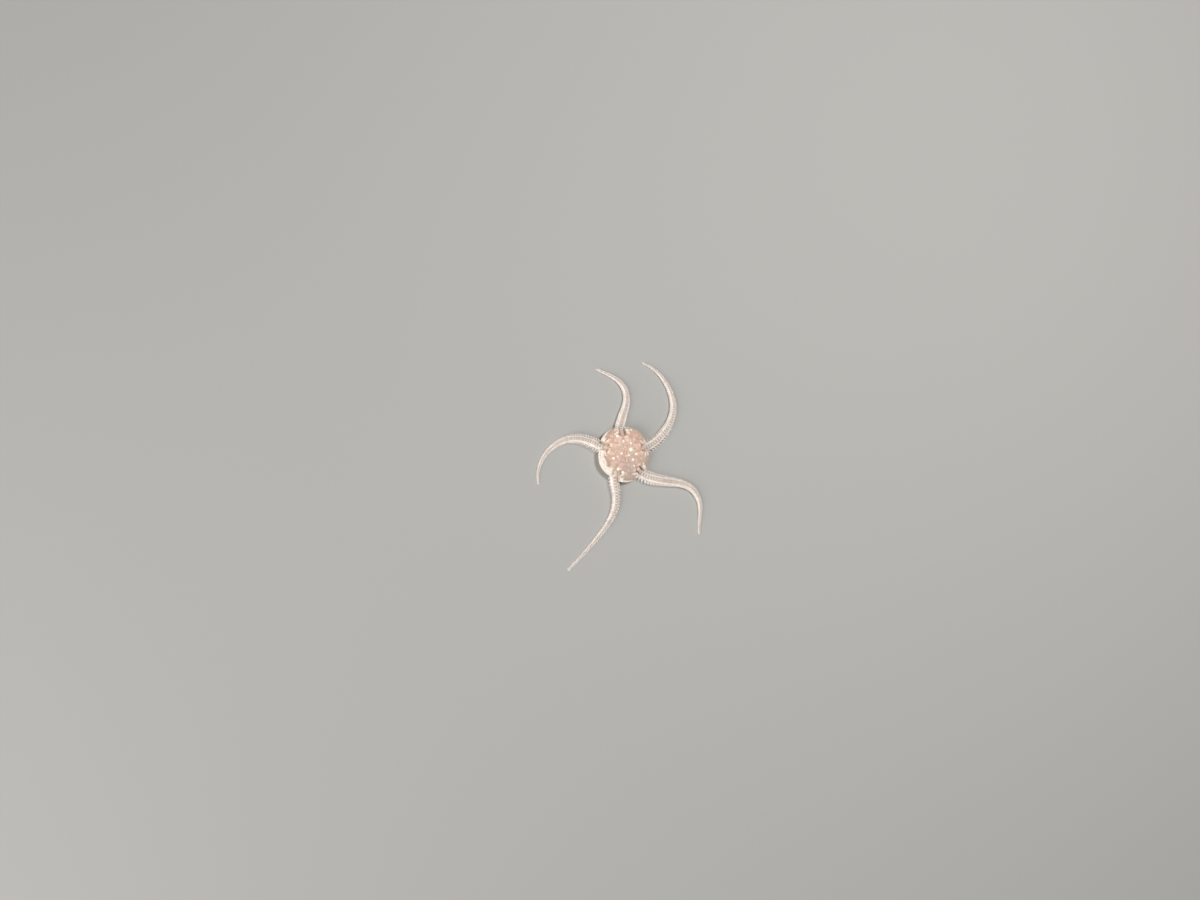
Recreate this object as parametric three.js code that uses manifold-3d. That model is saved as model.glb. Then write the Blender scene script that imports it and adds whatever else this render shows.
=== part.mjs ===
// A brittle star at life size, lying on its underside with five bent arms.
// Millimetres and degrees, Z up. Angles are counted anticlockwise from +X, seen from above.

import * as THREE from "three";
import { mergeVertices } from "three/addons/utils/BufferGeometryUtils.js";
import Module from "manifold-3d";

const wasm = await Module();
wasm.setup();

// The gap kept between two meshes that touch.
const GAP = 0.3;

// Where the middle of the disc lies, so that the origin is under the middle of the whole star's box.
const DISC_PLACE = { x: 0.7, y: 5.96 };

// Disc: the height of its middle, of its widest level and of its underside over the floor.
const DISC_HEIGHT = 7.0;
const RIM_LEVEL = 3.3;
const UNDERSIDE_LEVEL = 0.4;
const UNDERSIDE_SHARE = 0.9;
const DISC_CROWN = 2.4;
const DISC_SHOULDER = 0.6;
const DISC_SIDES = 30;
const DOME_ROWS = 4;
const FLANK_ROWS = 3;
const DISC_TOP_SHARE = 0.16;

// The five lobes of the disc between the arms: the direction and the reach of each, and the usual reach,
// how soon a lobe falls off to its sides, and the reach left at an arm.
const LOBES = [
  { azimuth: 130, reach: 15.9 },
  { azimuth: 204, reach: 15.2 },
  { azimuth: 281, reach: 15.4 },
  { azimuth: 348, reach: 15.5 },
  { azimuth: 58, reach: 16.4 },
];
const LOBE_REACH = 15.5;
const LOBE_SPREAD = 2.3;
const LOBE_FULLNESS = 0.7;
const WAIST_RADIUS = 13.9;

// The plates of the disc's back: the middle one, one before each arm, and those of each lobe,
// with the radius that each lies at, its turn from the lobe's direction and half its length and width.
const PLATE_SIDES = 6;
const PLATE_RAISE = 0.28;
const PLATE_ROOT = 0.5;
const PLATE_INSET = 0.82;
const MIDDLE_PLATE = { long: 1.6, wide: 1.6 };
const ARM_PLATE = { radius: 3.9, long: 1.15, wide: 1.35 };
const LOBE_PLATES = [
  { radius: 6.3, turn: 0, long: 1.5, wide: 1.7 },
  { radius: 9.5, turn: 0, long: 1.4, wide: 1.9 },
  { radius: 12.4, turn: 0, long: 1.3, wide: 2.1 },
  { radius: 11.3, turn: 17, long: 1.3, wide: 1.1 },
  { radius: 11.3, turn: -17, long: 1.3, wide: 1.1 },
];

// The pair of long shields on the back at each arm, placed and turned from the arm's root.
const ARM_SHIELD = { ahead: -2.3, aside: 2.35, turn: 8, long: 2.5, wide: 1.35, raise: 0.4 };

// The mouth shields, one under each lobe, whose flats carry the disc, and the star-shaped mouth.
const SHIELD_RADIUS = 7.2;
const SHIELD_LENGTH = 4.6;
const SHIELD_WIDTH = 3.8;
const SHIELD_DEPTH = 1.0;
const SHIELD_SIDES = 8;
const MOUTH_REACH = 4.4;
const MOUTH_WAIST = 1.1;
const MOUTH_DEPTH = 1.2;

// Arms: the root's direction, the length past the disc's notch, how long the arm stays wide before it
// tapers, how far its spines stand out at its root, and the headings along it at equal steps.
const ARMS = [
  { name: "upper", azimuth: 98, length: 47, full: 1.3, spread: 0.6,
    headings: [95, 77, 68, 76, 99, 130, 153, 160, 158] },
  { name: "left", azimuth: 163, length: 56, full: 1.2, spread: 1.1,
    headings: [161, 160, 171, 192, 210, 225, 243, 261, 282] },
  { name: "lower", azimuth: 241, length: 65, full: 1.0, spread: 0.8,
    headings: [269, 283, 265, 243, 233, 229, 229, 225, 225] },
  { name: "right", azimuth: 316, length: 63, full: 1.7, spread: 1.05,
    headings: [321, 346, 355, 357, 344, 308, 274, 262, 276] },
  { name: "far", azimuth: 20, length: 67, full: 1.5, spread: 1.0,
    headings: [18, 35, 50, 64, 86, 111, 126, 144, 167] },
];
const ROOT_RADIUS = 10.8;
const STRAIGHT_ROOT = 1.2;
const NOTCH_LENGTH = 9;
const NOTCH_ROWS = 9;
const NOTCH_LIFT = 3;
const ARM_WIDTH = 4.7;
const TIP_WIDTH = 0.8;
const ARM_TAPER = 1.25;
const HEIGHT_PER_WIDTH = 0.74;

// How much higher an arm is at its root, where its back runs up to the disc's, and how far out that reaches.
const ROOT_RISE = 0.6;
const ROOT_RISE_LENGTH = 4.5;

// Rings of plates along an arm: they get shorter outwards, each with its far edge raised over the next.
const SEGMENTS = 22;
const SEGMENT_TAPER = 0.25;
const LENGTH_ENDS = [0, 6, 12, 17, 22];
const LINE_STEPS = 160;
const PLATE_EDGE = 0.17;
const NEAR_EDGE = 0.14;
const FAR_EDGE = 0.93;

// Half of the arm's section, from the keel on the back down to the flat of the underside: across as a share
// of half the width, up as a share of the height, and how far the plate's edge runs ahead in segments.
const HALF_SECTION = [
  { across: 0, up: 1, lead: 0.2 },
  { across: 0.34, up: 0.95, lead: 0.14 },
  { across: 0.56, up: 0.82, lead: -0.06 },
  { across: 1, up: 0.46, lead: 0.06 },
  { across: 0.84, up: 0.13, lead: 0 },
  { across: 0.52, up: 0, lead: 0 },
];
const mirrored = HALF_SECTION.slice(1).reverse().map((corner) => ({ ...corner, across: -corner.across }));
const SECTION = [...HALF_SECTION, ...mirrored];
const BACK_CORNERS = 0.8;
const END_MIDDLE = { across: 0, up: 0.45, lead: 0 };

// Spines: rows on each side of a segment, by their height on the arm, their turn away from the arm's
// heading, their rise, and the segments that carry them.
const SPINE_ROWS = [
  { up: 0.28, turn: 66, rise: 0, first: 1, last: 20 },
  { up: 0.6, turn: 56, rise: 12, first: 2, last: 11 },
];
const SPINE_LENGTH = 2.1;
const SPINE_SMALLEST = 0.3;
const SPINE_THINNEST = 0.62;
const SPINE_ROOT = 0.42;
const SPINE_TIP = 0.2;
const SPINE_SUNK = 0.7;
const SPINE_SUNK_SHARE = 0.3;
const SPINE_ASIDE = 0.86;
const SPINE_SIDES = 3;
const SPINE_PLACE = 0.7;
const SPINE_VARIES = 5;

// Where along an arm the spines start to fold along it and lie folded, and their turn from there on.
const SPINE_FOLD = { from: 8, to: 24, turn: 30 };

// The comb of small teeth along both edges of each notch.
const COMB = { teeth: 4, from: 0.9, step: 0.95, aside: 0.75, turn: 24, rise: 34, length: 1.2, sunk: 0.6 };
const COMB_ROOT = 0.38;

const material = (color, roughness) => new THREE.MeshStandardMaterial({ color, roughness, metalness: 0 });
const discMaterial = material(0xdcbba8, 0.5);
const armMaterial = material(0xd9c8b8, 0.5);

const radians = THREE.MathUtils.degToRad;
const degrees = THREE.MathUtils.radToDeg;
const UP = new THREE.Vector3(0, 0, 1);

// Draws between -1 and 1 that come out the same each time.
let seed = 7;
function vary() {
  seed = (seed * 16807) % 2147483647;
  return (seed / 2147483647) * 2 - 1;
}

// A point at a radius and a direction from the disc's middle.
const polar = (radius, azimuth, level) =>
  new THREE.Vector3(radius * Math.cos(radians(azimuth)), radius * Math.sin(radians(azimuth)), level);

// A closed solid from any closed geometry.
function solid(geometry) {
  geometry.deleteAttribute("normal");
  geometry.deleteAttribute("uv");
  const merged = mergeVertices(geometry, 1e-4);
  return new wasm.Manifold(
    new wasm.Mesh({
      numProp: 3,
      vertProperties: new Float32Array(merged.attributes.position.array),
      triVerts: new Uint32Array(merged.index.array),
    }),
  );
}

// A named mesh of a solid's largest closed surface.
function meshOf(name, body, meshMaterial) {
  const pieces = body.decompose();
  pieces.sort((a, b) => b.volume() - a.volume());
  const result = pieces[0].getMesh();
  const geometry = new THREE.BufferGeometry();
  geometry.setAttribute("position", new THREE.BufferAttribute(result.vertProperties, 3));
  geometry.setIndex(new THREE.BufferAttribute(result.triVerts, 1));
  const mesh = new THREE.Mesh(geometry, meshMaterial);
  mesh.name = name;
  return mesh;
}

// A cylinder whose points are moved to place(row, turn, share): the rows count down from its top,
// turn goes once round in radians, and share is 0 at the middle of an end and 1 on the wall.
function shapedCylinder(sides, rows, place) {
  const geometry = new THREE.CylinderGeometry(1, 1, 1, sides, rows);
  const position = geometry.attributes.position;
  for (let i = 0; i < position.count; i += 1) {
    const x = position.getX(i);
    const z = position.getZ(i);
    const share = Math.round(Math.hypot(x, z));
    const row = Math.round((0.5 - position.getY(i)) * rows);
    const point = place(row, share ? Math.atan2(x, z) : 0, share);
    position.setXYZ(i, point.x, point.y, point.z);
  }
  return geometry;
}

// The reach of the disc's outline in a direction: full at the lobes, drawn in at the arms.
function outline(azimuth) {
  let reach = WAIST_RADIUS;
  for (const lobe of LOBES) {
    const turn = Math.abs(THREE.MathUtils.euclideanModulo(azimuth - lobe.azimuth + 180, 360) - 180);
    const swell = Math.max(0, Math.cos(radians(Math.min(90, turn * LOBE_SPREAD))));
    reach = Math.max(reach, WAIST_RADIUS + (lobe.reach - WAIST_RADIUS) * swell ** LOBE_FULLNESS);
  }
  return reach;
}

// The level of the disc's upper side over a point given from the disc's middle.
function discTop(x, y) {
  const reach = outline(degrees(Math.atan2(y, x)));
  const share = Math.min(1, Math.hypot(x, y) / reach);
  return RIM_LEVEL + (DISC_HEIGHT - RIM_LEVEL) * (1 - share ** DISC_CROWN) ** DISC_SHOULDER;
}

// The disc: a domed top over a rounded flank and a flat underside.
function discBody() {
  const place = (row, turn, share) => {
    const dome = Math.min(row, DOME_ROWS) / DOME_ROWS;
    const flank = Math.max(row - DOME_ROWS, 0) / FLANK_ROWS;
    const spread = DISC_TOP_SHARE + (1 - DISC_TOP_SHARE) * Math.sin((dome * Math.PI) / 2);
    const drawnIn = (1 - UNDERSIDE_SHARE) * (1 - Math.cos((flank * Math.PI) / 2));
    const radius = outline(degrees(turn)) * (spread - drawnIn) * share;
    const point = polar(radius, degrees(turn), 0);
    const drop = (RIM_LEVEL - UNDERSIDE_LEVEL) * Math.sin((flank * Math.PI) / 2);
    point.z = row > DOME_ROWS ? RIM_LEVEL - drop : discTop(point.x, point.y);
    return point;
  };
  return solid(shapedCylinder(DISC_SIDES, DOME_ROWS + FLANK_ROWS, place));
}

// A low plate on the disc's back, sunk into it all round.
function backPlate(middle, azimuth, { long, wide, raise = PLATE_RAISE }) {
  const place = (row, turn, share) => {
    const size = row === 0 ? PLATE_INSET * share : share;
    const point = new THREE.Vector3(Math.cos(turn) * long * size, Math.sin(turn) * wide * size, 0);
    point.applyAxisAngle(UP, radians(azimuth)).add(middle);
    return point.setZ(discTop(point.x, point.y) + (row === 0 ? raise : -PLATE_ROOT));
  };
  return solid(shapedCylinder(PLATE_SIDES, 1, place));
}

// The plates of the disc's back, apart from the shields at the arms.
function backPlates() {
  const plates = [backPlate(polar(0, 0, 0), LOBES[0].azimuth, MIDDLE_PLATE)];
  for (const arm of ARMS) {
    plates.push(backPlate(polar(ARM_PLATE.radius, arm.azimuth, 0), arm.azimuth, ARM_PLATE));
  }
  for (const lobe of LOBES) {
    for (const plate of LOBE_PLATES) {
      const azimuth = lobe.azimuth + plate.turn;
      plates.push(backPlate(polar((plate.radius * lobe.reach) / LOBE_REACH, azimuth, 0), azimuth, plate));
    }
  }
  return plates;
}

// A mouth shield: a low rounded plate whose flat face lies on the floor.
function mouthShield(azimuth) {
  const geometry = new THREE.CylinderGeometry(1, 1, SHIELD_DEPTH, SHIELD_SIDES);
  geometry.rotateX(Math.PI / 2);
  geometry.scale(SHIELD_LENGTH / 2, SHIELD_WIDTH / 2, 1);
  geometry.translate(SHIELD_RADIUS, 0, SHIELD_DEPTH / 2);
  geometry.rotateZ(radians(azimuth));
  return solid(geometry);
}

// The mouth: a shallow star-shaped pit with a slit towards each arm.
function mouthPit() {
  const star = new THREE.Shape();
  const tips = ARMS.map((arm) => arm.azimuth).sort((a, b) => a - b);
  tips.forEach((tip, i) => {
    const next = tips[(i + 1) % tips.length] + (i + 1 === tips.length ? 360 : 0);
    const corner = polar(MOUTH_REACH, tip, 0);
    const waist = polar(MOUTH_WAIST, (tip + next) / 2, 0);
    if (i === 0) star.moveTo(corner.x, corner.y);
    else star.lineTo(corner.x, corner.y);
    star.lineTo(waist.x, waist.y);
  });
  const depth = MOUTH_DEPTH + UNDERSIDE_LEVEL;
  return solid(new THREE.ExtrudeGeometry(star, { depth, bevelEnabled: false }));
}

// A spine or tooth: a blunt three-sided cone, its root sunk behind its place.
function spike(place, direction, length, root, sunk) {
  const geometry = new THREE.CylinderGeometry(SPINE_TIP, root, length + sunk, SPINE_SIDES);
  geometry.translate(0, (length + sunk) / 2 - sunk, 0);
  geometry.applyQuaternion(new THREE.Quaternion().setFromUnitVectors(new THREE.Vector3(0, 1, 0), direction));
  geometry.translate(place.x, place.y, place.z);
  return solid(geometry);
}

// An arm's middle line on the floor: its point, heading, width and height at a distance from its root.
function armLine(arm) {
  const steps = LINE_STEPS;
  const total = STRAIGHT_ROOT + arm.length;
  const heading = (distance) => {
    const place = Math.max(0, (distance - STRAIGHT_ROOT) / arm.length) * (arm.headings.length - 1);
    const before = Math.min(arm.headings.length - 2, Math.floor(place));
    return THREE.MathUtils.lerp(arm.headings[before], arm.headings[before + 1], place - before);
  };
  const points = [];
  const at = polar(ROOT_RADIUS, arm.azimuth, 0);
  for (let i = 0; i <= steps; i += 1) {
    points.push(at.clone());
    at.add(polar(total / steps, heading(((i + 0.5) * total) / steps), 0));
  }
  const line = (distance) => {
    const place = (distance / total) * steps;
    const before = THREE.MathUtils.clamp(Math.floor(place), 0, steps - 1);
    const middle = points[before].clone().lerp(points[before + 1], place - before);
    const ahead = polar(1, heading(distance), 0);
    const left = ahead.clone().applyAxisAngle(UP, Math.PI / 2);
    const share = THREE.MathUtils.clamp(distance / total, 0, 1);
    const width = THREE.MathUtils.lerp(TIP_WIDTH, ARM_WIDTH, (1 - share ** arm.full) ** ARM_TAPER);
    const rise = 1 + ROOT_RISE * (1 - THREE.MathUtils.smoothstep(distance, 0, ROOT_RISE_LENGTH));
    return { middle, ahead, left, width, height: width * HEIGHT_PER_WIDTH * rise };
  };
  return { line, total };
}

// The distance from an arm's root at which a segment starts.
const segmentStart = (total, segment) =>
  total * (segment / SEGMENTS) * (1 + SEGMENT_TAPER * (1 - segment / SEGMENTS));

// A stretch of an arm through rows that each give a distance, a margin round the section and a lead.
function stretch(line, rows, drop, lift) {
  const place = (row, turn, share) => {
    const { distance, margin, lead } = rows[row];
    const { middle, ahead, left, width, height } = line(distance);
    const index = Math.round((turn / (2 * Math.PI) + 1) * SECTION.length) % SECTION.length;
    const corner = share ? SECTION[index] : END_MIDDLE;
    middle.addScaledVector(left, corner.across * (width / 2 + margin));
    middle.addScaledVector(ahead, corner.lead * lead);
    const raised = corner.up > BACK_CORNERS ? lift : 0;
    return middle.setZ(corner.up * (height + margin + drop) - drop + raised);
  };
  return solid(shapedCylinder(SECTION.length, rows.length - 1, place));
}

// The room that an arm's root takes up in the disc, open above the middle of its back.
function armNotch(line) {
  const rows = [];
  for (let i = 0; i <= NOTCH_ROWS; i += 1) {
    const distance = THREE.MathUtils.lerp(-GAP, NOTCH_LENGTH, i / NOTCH_ROWS);
    rows.push({ distance, margin: GAP + PLATE_EDGE, lead: 0 });
  }
  return stretch(line, rows, GAP, NOTCH_LIFT);
}

// The segments of one length of an arm, with flat ends.
function segments(line, total, first, last) {
  const rows = [];
  for (let segment = first; segment < last; segment += 1) {
    const start = segmentStart(total, segment);
    const pitch = segmentStart(total, segment + 1) - start;
    const edge = (PLATE_EDGE * line(start).width) / ARM_WIDTH;
    rows.push({ distance: start + NEAR_EDGE * pitch, margin: -edge, lead: 0 });
    rows.push({ distance: start + FAR_EDGE * pitch, margin: edge, lead: pitch });
  }
  rows[0] = { ...rows[0], distance: segmentStart(total, first) + (first > 0 ? GAP / 2 : 0) };
  const end = segmentStart(total, last) - (last < SEGMENTS ? GAP / 2 : 0);
  rows[rows.length - 1] = { ...rows[rows.length - 1], distance: end, lead: 0 };
  return stretch(line, rows, 0, 0);
}

// The spines of one length of an arm.
function spines(line, total, first, last, spread) {
  const all = [];
  for (const row of SPINE_ROWS) {
    for (let segment = Math.max(first, row.first); segment < Math.min(last, row.last + 1); segment += 1) {
      const start = segmentStart(total, segment);
      const pitch = segmentStart(total, segment + 1) - start;
      for (const side of [1, -1]) {
        const distance = start + SPINE_PLACE * pitch;
        const { middle, ahead, left, width, height } = line(distance);
        const share = width / ARM_WIDTH;
        const folded = THREE.MathUtils.smoothstep(distance, SPINE_FOLD.from, SPINE_FOLD.to);
        const open = THREE.MathUtils.lerp(row.turn * spread, SPINE_FOLD.turn, folded);
        const turn = radians(open + SPINE_VARIES * vary());
        const length = SPINE_LENGTH * (SPINE_SMALLEST + (1 - SPINE_SMALLEST) * share);
        const root = SPINE_ROOT * (SPINE_THINNEST + (1 - SPINE_THINNEST) * share);
        const outward = left.clone().multiplyScalar(side);
        const direction = ahead.clone().multiplyScalar(Math.cos(turn));
        direction.addScaledVector(outward, Math.sin(turn)).setZ(Math.tan(radians(row.rise))).normalize();
        middle.addScaledVector(outward, (width / 2) * SPINE_ASIDE).setZ(Math.max(height * row.up, root));
        all.push(spike(middle, direction, length, root, Math.min(SPINE_SUNK, width * SPINE_SUNK_SHARE)));
      }
    }
  }
  return all;
}

// The combs of teeth along the two edges of an arm's notch.
function combs(line) {
  const all = [];
  for (const side of [1, -1]) {
    for (let tooth = 0; tooth < COMB.teeth; tooth += 1) {
      const { middle, ahead, left, width } = line(COMB.from + COMB.step * tooth);
      const outward = left.clone().multiplyScalar(side);
      middle.addScaledVector(outward, width / 2 + COMB.aside);
      middle.setZ(discTop(middle.x, middle.y));
      const turn = radians(COMB.turn);
      const direction = ahead.clone().multiplyScalar(Math.cos(turn)).addScaledVector(outward, Math.sin(turn));
      direction.setZ(Math.tan(radians(COMB.rise))).normalize();
      all.push(spike(middle, direction, COMB.length, COMB_ROOT, COMB.sunk));
    }
  }
  return all;
}

const join = (body, pieces) => pieces.reduce((whole, piece) => whole.add(piece), body);

const star = new THREE.Group();
star.position.set(DISC_PLACE.x, DISC_PLACE.y, 0);

let disc = discBody().subtract(mouthPit());
disc = join(disc, LOBES.map((lobe) => mouthShield(lobe.azimuth)));
disc = join(disc, backPlates());
for (const arm of ARMS) {
  const { line, total } = armLine(arm);
  for (const side of [1, -1]) {
    const { middle, ahead, left } = line(0);
    middle.addScaledVector(ahead, ARM_SHIELD.ahead).addScaledVector(left, side * ARM_SHIELD.aside);
    disc = disc.add(backPlate(middle, arm.azimuth - side * ARM_SHIELD.turn, ARM_SHIELD));
  }
  disc = disc.subtract(armNotch(line));
  disc = join(disc, combs(line));
  for (let part = 0; part + 1 < LENGTH_ENDS.length; part += 1) {
    const [first, last] = [LENGTH_ENDS[part], LENGTH_ENDS[part + 1]];
    const body = join(segments(line, total, first, last), spines(line, total, first, last, arm.spread));
    star.add(meshOf(`arm_${arm.name}_${part + 1}`, body, armMaterial));
  }
}
star.add(meshOf("disc", disc, discMaterial));

export default star;
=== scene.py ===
# A brittle star at life size, lying on its underside with five bent arms.
# Sizes are millimetres in the star's own frame, whose origin is under the middle of the disc.

import math

import bpy
import numpy as np
from bpy.props import FloatProperty, FloatVectorProperty, IntProperty, PointerProperty
from mathutils import Matrix, Vector
from mathutils.bvhtree import BVHTree


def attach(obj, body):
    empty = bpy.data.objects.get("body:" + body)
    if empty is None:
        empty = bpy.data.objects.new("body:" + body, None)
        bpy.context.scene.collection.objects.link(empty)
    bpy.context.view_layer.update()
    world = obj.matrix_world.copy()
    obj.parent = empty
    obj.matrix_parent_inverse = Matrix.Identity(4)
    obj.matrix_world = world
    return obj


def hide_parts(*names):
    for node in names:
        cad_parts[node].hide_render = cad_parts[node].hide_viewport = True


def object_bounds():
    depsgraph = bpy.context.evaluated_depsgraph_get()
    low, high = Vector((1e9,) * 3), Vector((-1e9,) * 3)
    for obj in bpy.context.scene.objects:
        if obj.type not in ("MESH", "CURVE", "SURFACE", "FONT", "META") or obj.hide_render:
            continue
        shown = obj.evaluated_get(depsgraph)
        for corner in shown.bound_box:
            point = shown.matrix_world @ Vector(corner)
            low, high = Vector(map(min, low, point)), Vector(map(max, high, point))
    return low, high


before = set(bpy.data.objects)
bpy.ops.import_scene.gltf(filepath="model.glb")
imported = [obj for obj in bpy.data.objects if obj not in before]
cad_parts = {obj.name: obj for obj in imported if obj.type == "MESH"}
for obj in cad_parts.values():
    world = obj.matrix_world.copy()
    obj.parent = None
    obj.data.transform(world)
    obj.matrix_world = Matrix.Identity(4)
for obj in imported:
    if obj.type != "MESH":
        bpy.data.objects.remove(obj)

bl_info = {
    "name": "Brittle Star",
    "version": (1, 0, 0),
    "blender": (4, 5, 0),
    "location": "View3D > Sidebar > Brittle Star",
    "description": "Builds a life-size brittle star with its scales, arm plates and spines",
    "category": "Object",
}

CAD_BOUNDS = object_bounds()
FLOOR_LEVEL = CAD_BOUNDS[0].z

MM = 0.001
BODY = "root"
DISC_PLACE = (0.7, 5.96, 0.0)
UP = np.array([0.0, 0.0, 1.0])

# Disc: heights over the floor, and the form of its dome and flank.
DISC_HEIGHT = 7.0
RIM_LEVEL = 3.3
UNDERSIDE_LEVEL = 0.4
UNDERSIDE_SHARE = 0.9
DISC_CROWN = 2.4
DISC_SHOULDER = 0.6

# The lobes between the arms, as direction and reach, and how each falls off to its sides.
LOBES = [(130, 15.9), (204, 15.2), (281, 15.4), (348, 15.5), (58, 16.4)]
LOBE_REACH = 15.5
LOBE_SPREAD = 2.3
LOBE_FULLNESS = 0.7
WAIST_RADIUS = 13.9

# Arms: the root's direction, the length past the notch, how long it stays wide, how far its spines stand
# out at its root, and its headings.
ARMS = {
    "upper": (98, 47, 1.3, 0.5, [95, 77, 68, 76, 99, 130, 153, 160, 158]),
    "left": (163, 56, 1.2, 1.15, [161, 160, 171, 192, 210, 225, 243, 261, 282]),
    "lower": (241, 65, 1.0, 0.8, [269, 283, 265, 243, 233, 229, 229, 225, 225]),
    "right": (316, 63, 1.7, 1.2, [321, 346, 355, 357, 344, 308, 274, 262, 276]),
    "far": (20, 67, 1.5, 1.0, [18, 35, 50, 64, 86, 111, 126, 144, 167]),
}
ROOT_RADIUS = 10.8
STRAIGHT_ROOT = 1.2
INNER_REACH = 6.2
INNER_WIDTH = 3.4
ARM_WIDTH = 4.7
TIP_WIDTH = 0.8
ARM_TAPER = 1.25
TIP_PLATE = 0.85
TIP_SUNK = 0.45
HEIGHT_PER_WIDTH = 0.74
ROOT_RISE = 0.6
ROOT_RISE_LENGTH = 4.5
LINE_STEP = 0.35
NOTCH_START = -0.3
NOTCH_LENGTH = 9.0
NOTCH_MARGIN = 0.42
NOTCH_LIFT = 3.0
WEB_LENGTH = 2.6

# Half of the arm's section, from the keel on the back to the middle of the underside.
HALF_SECTION = [(0, 1), (0.34, 0.95), (0.56, 0.83), (0.93, 0.6), (0.99, 0.4), (0.84, 0.12), (0.52, 0), (0, 0)]
SECTION_STEPS = 24

# Plates of the back that the solids have too: radius, turn from the lobe, and size.
LOBE_PLATES = [(6.3, 0, 1.25), (9.5, 0, 1.2), (12.4, 0, 1.1), (11.3, 17, 0.95), (11.3, -17, 0.95)]
ARM_PLATE_RADIUS = 3.9
ARM_PLATE_SIZE = 1.15
MIDDLE_PLATE = 1.5

# The pale scales of the back: radius, direction and size.
PALE_SCALES = [
    (11.0, 116, 0.98), (7.3, 102, 0.68), (6.9, 64, 0.72), (8.1, 31, 0.74), (4.0, 44, 1.12), (6.2, 3, 0.82),
    (9.7, 8, 0.76), (1.7, -17, 0.66), (2.9, 178, 0.66), (5.5, -164, 0.5), (7.9, -160, 0.82), (5.0, -35, 0.76),
    (8.2, -53, 0.82), (13.3, -28, 0.7), (9.6, -118, 0.62), (12.5, -136, 0.72), (10.4, -99, 0.74),
    (14.2, 84, 0.7), (14.8, 74, 0.75),
]

# How big the disc's scales are along the path down the disc, where on it they start and end, where the
# underside begins, and the radius that the mouth keeps clear.
SCALE_PATHS = ([0, 0.5, 0.9, 1.1, 1.5, 2, 2.6], [1.05, 1, 0.88, 0.95, 1.2, 1.1, 0.9])
SCALE_PATH_ENDS = (0.03, 2.55)
SOLE_PATH = 1.97
MOUTH_CLEAR = 7.6

# How close scales lie, in their sizes: fixed ones and the others. How their sizes vary, how far a scale can
# reach, how much further its neighbours are looked for, and the least that is kept. A few are a little pale.
FIXED_SPACING = 0.8
SCALE_SPACING = 0.84
SCALE_VARIES = (0.78, 1.2)
SCALE_REACH = 1.75
NEIGHBOUR_REACH = 2.6
LEAST_SCALE = 0.28
SOME_PALE = 0.25
NOT_PALE_SHARE = 0.93

# From how far over the disc its surface is looked for.
DROP_HEIGHT = 8

# Forms of the disc's plates: the height in their middle, rows of (size, height, edge), and their sunk foot.
SCALE_FORM = (1.06, [(0.7, 1, 0), (0.91, 0.85, 0.1), (1, 0.15, 1)], (0.93, -0.34))
SHIELD_FORM = (
    1.02, [(0.3, 1, 0), (0.62, 0.93, 0), (0.86, 0.72, 0.15), (0.97, 0.35, 0.6), (1, 0, 1)], (0.94, -0.35),
)
RIDGE_FORM = (
    1.03, [(0.3, 1, 0), (0.6, 0.93, 0), (0.82, 0.7, 0.1), (0.95, 0.36, 0.5), (1, 0, 1)], (0.94, -0.4),
)
MOUTH_FORM = (1.02, [(0.55, 1, 0), (0.84, 0.85, 0.15), (1, 0.2, 0.9)], (0.95, -0.3))

# The arm shields: their place from the arm's root, turn, half length, half width and swell.
SHIELD_AHEAD = -2.5
SHIELD_ASIDE = 2.35
SHIELD_TURN = 8
SHIELD_LONG = 2.4
SHIELD_WIDE = 1.4
SHIELD_SWELL = 0.24

# The stretches of the notch's edge that carry ridges and a comb, the ridges' turn from the arm, and the way
# that the comb's papillae point: outwards, along the arm, over the notch and up.
RIDGE_PATHS = (0.64, 1.0)
RIDGE_TURN = 50
COMB_PATHS = (0.57, 1.9)
COMB_WAY = (0.3, 0.72, 0.42, 0.1)
COMB_GIRTH = 0.36

# Plates round the mouth: radius, direction from the lobe, turn, outline, height and range of tones.
MOUTH_SHIELD_RADIUS = 7.2
MOUTH_SHIELD = (2.3, 1.9)
MOUTH_SIDE = (1.25, 0.5, 0.1, 16)
MOUTH_PIT = (4.4, 1.1, 1.6)
JAW_LEVEL = UNDERSIDE_LEVEL + 0.15
TOOTH_LEVEL = UNDERSIDE_LEVEL + 0.2
MOUTH_PLATES = [
    (MOUTH_SHIELD_RADIUS, 0, 0, (*MOUTH_SHIELD, 0.18), 0.38, (0.4, 0.9)),
    (3.0, 0, 180, (1.75, 0.72, -0.35, 16), 0.3, (0.3, 0.8)),
    (4.95, 15, 62, MOUTH_SIDE, 0.34, (0.3, 0.8)),
    (4.95, -15, -62, MOUTH_SIDE, 0.34, (0.3, 0.8)),
]

# Rows of spines on each side of an arm: place round the section, turn, rise and share of the length.
SPINE_ROWS = [(0.42, 58, 14, 0.92), (0.52, 60, 5, 1.0), (0.62, 58, -3, 0.92)]

# Where the spines stand in their segment, the stretches at an arm's ends without them, how soon and from what
# share they grow to full length, their least length and thickness, how deep they are sunk, and how they vary.
SPINE_PLACE = 0.9
FIRST_SPINES = 0.7
LAST_SPINES = 0.8
SPINE_GROWTH = 3.4
ROOT_SPINE = 0.35
LEAST_LENGTH = 0.26
LEAST_GIRTH = 0.45
SPINE_SUNK = 0.12
TURN_VARIES = 3
RISE_VARIES = 4

# Where the spines start to fold along the arm and lie folded, and their turn from its heading there.
FOLD_START = 9
FOLD_END = 28
FOLD_TURN = 34

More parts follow.
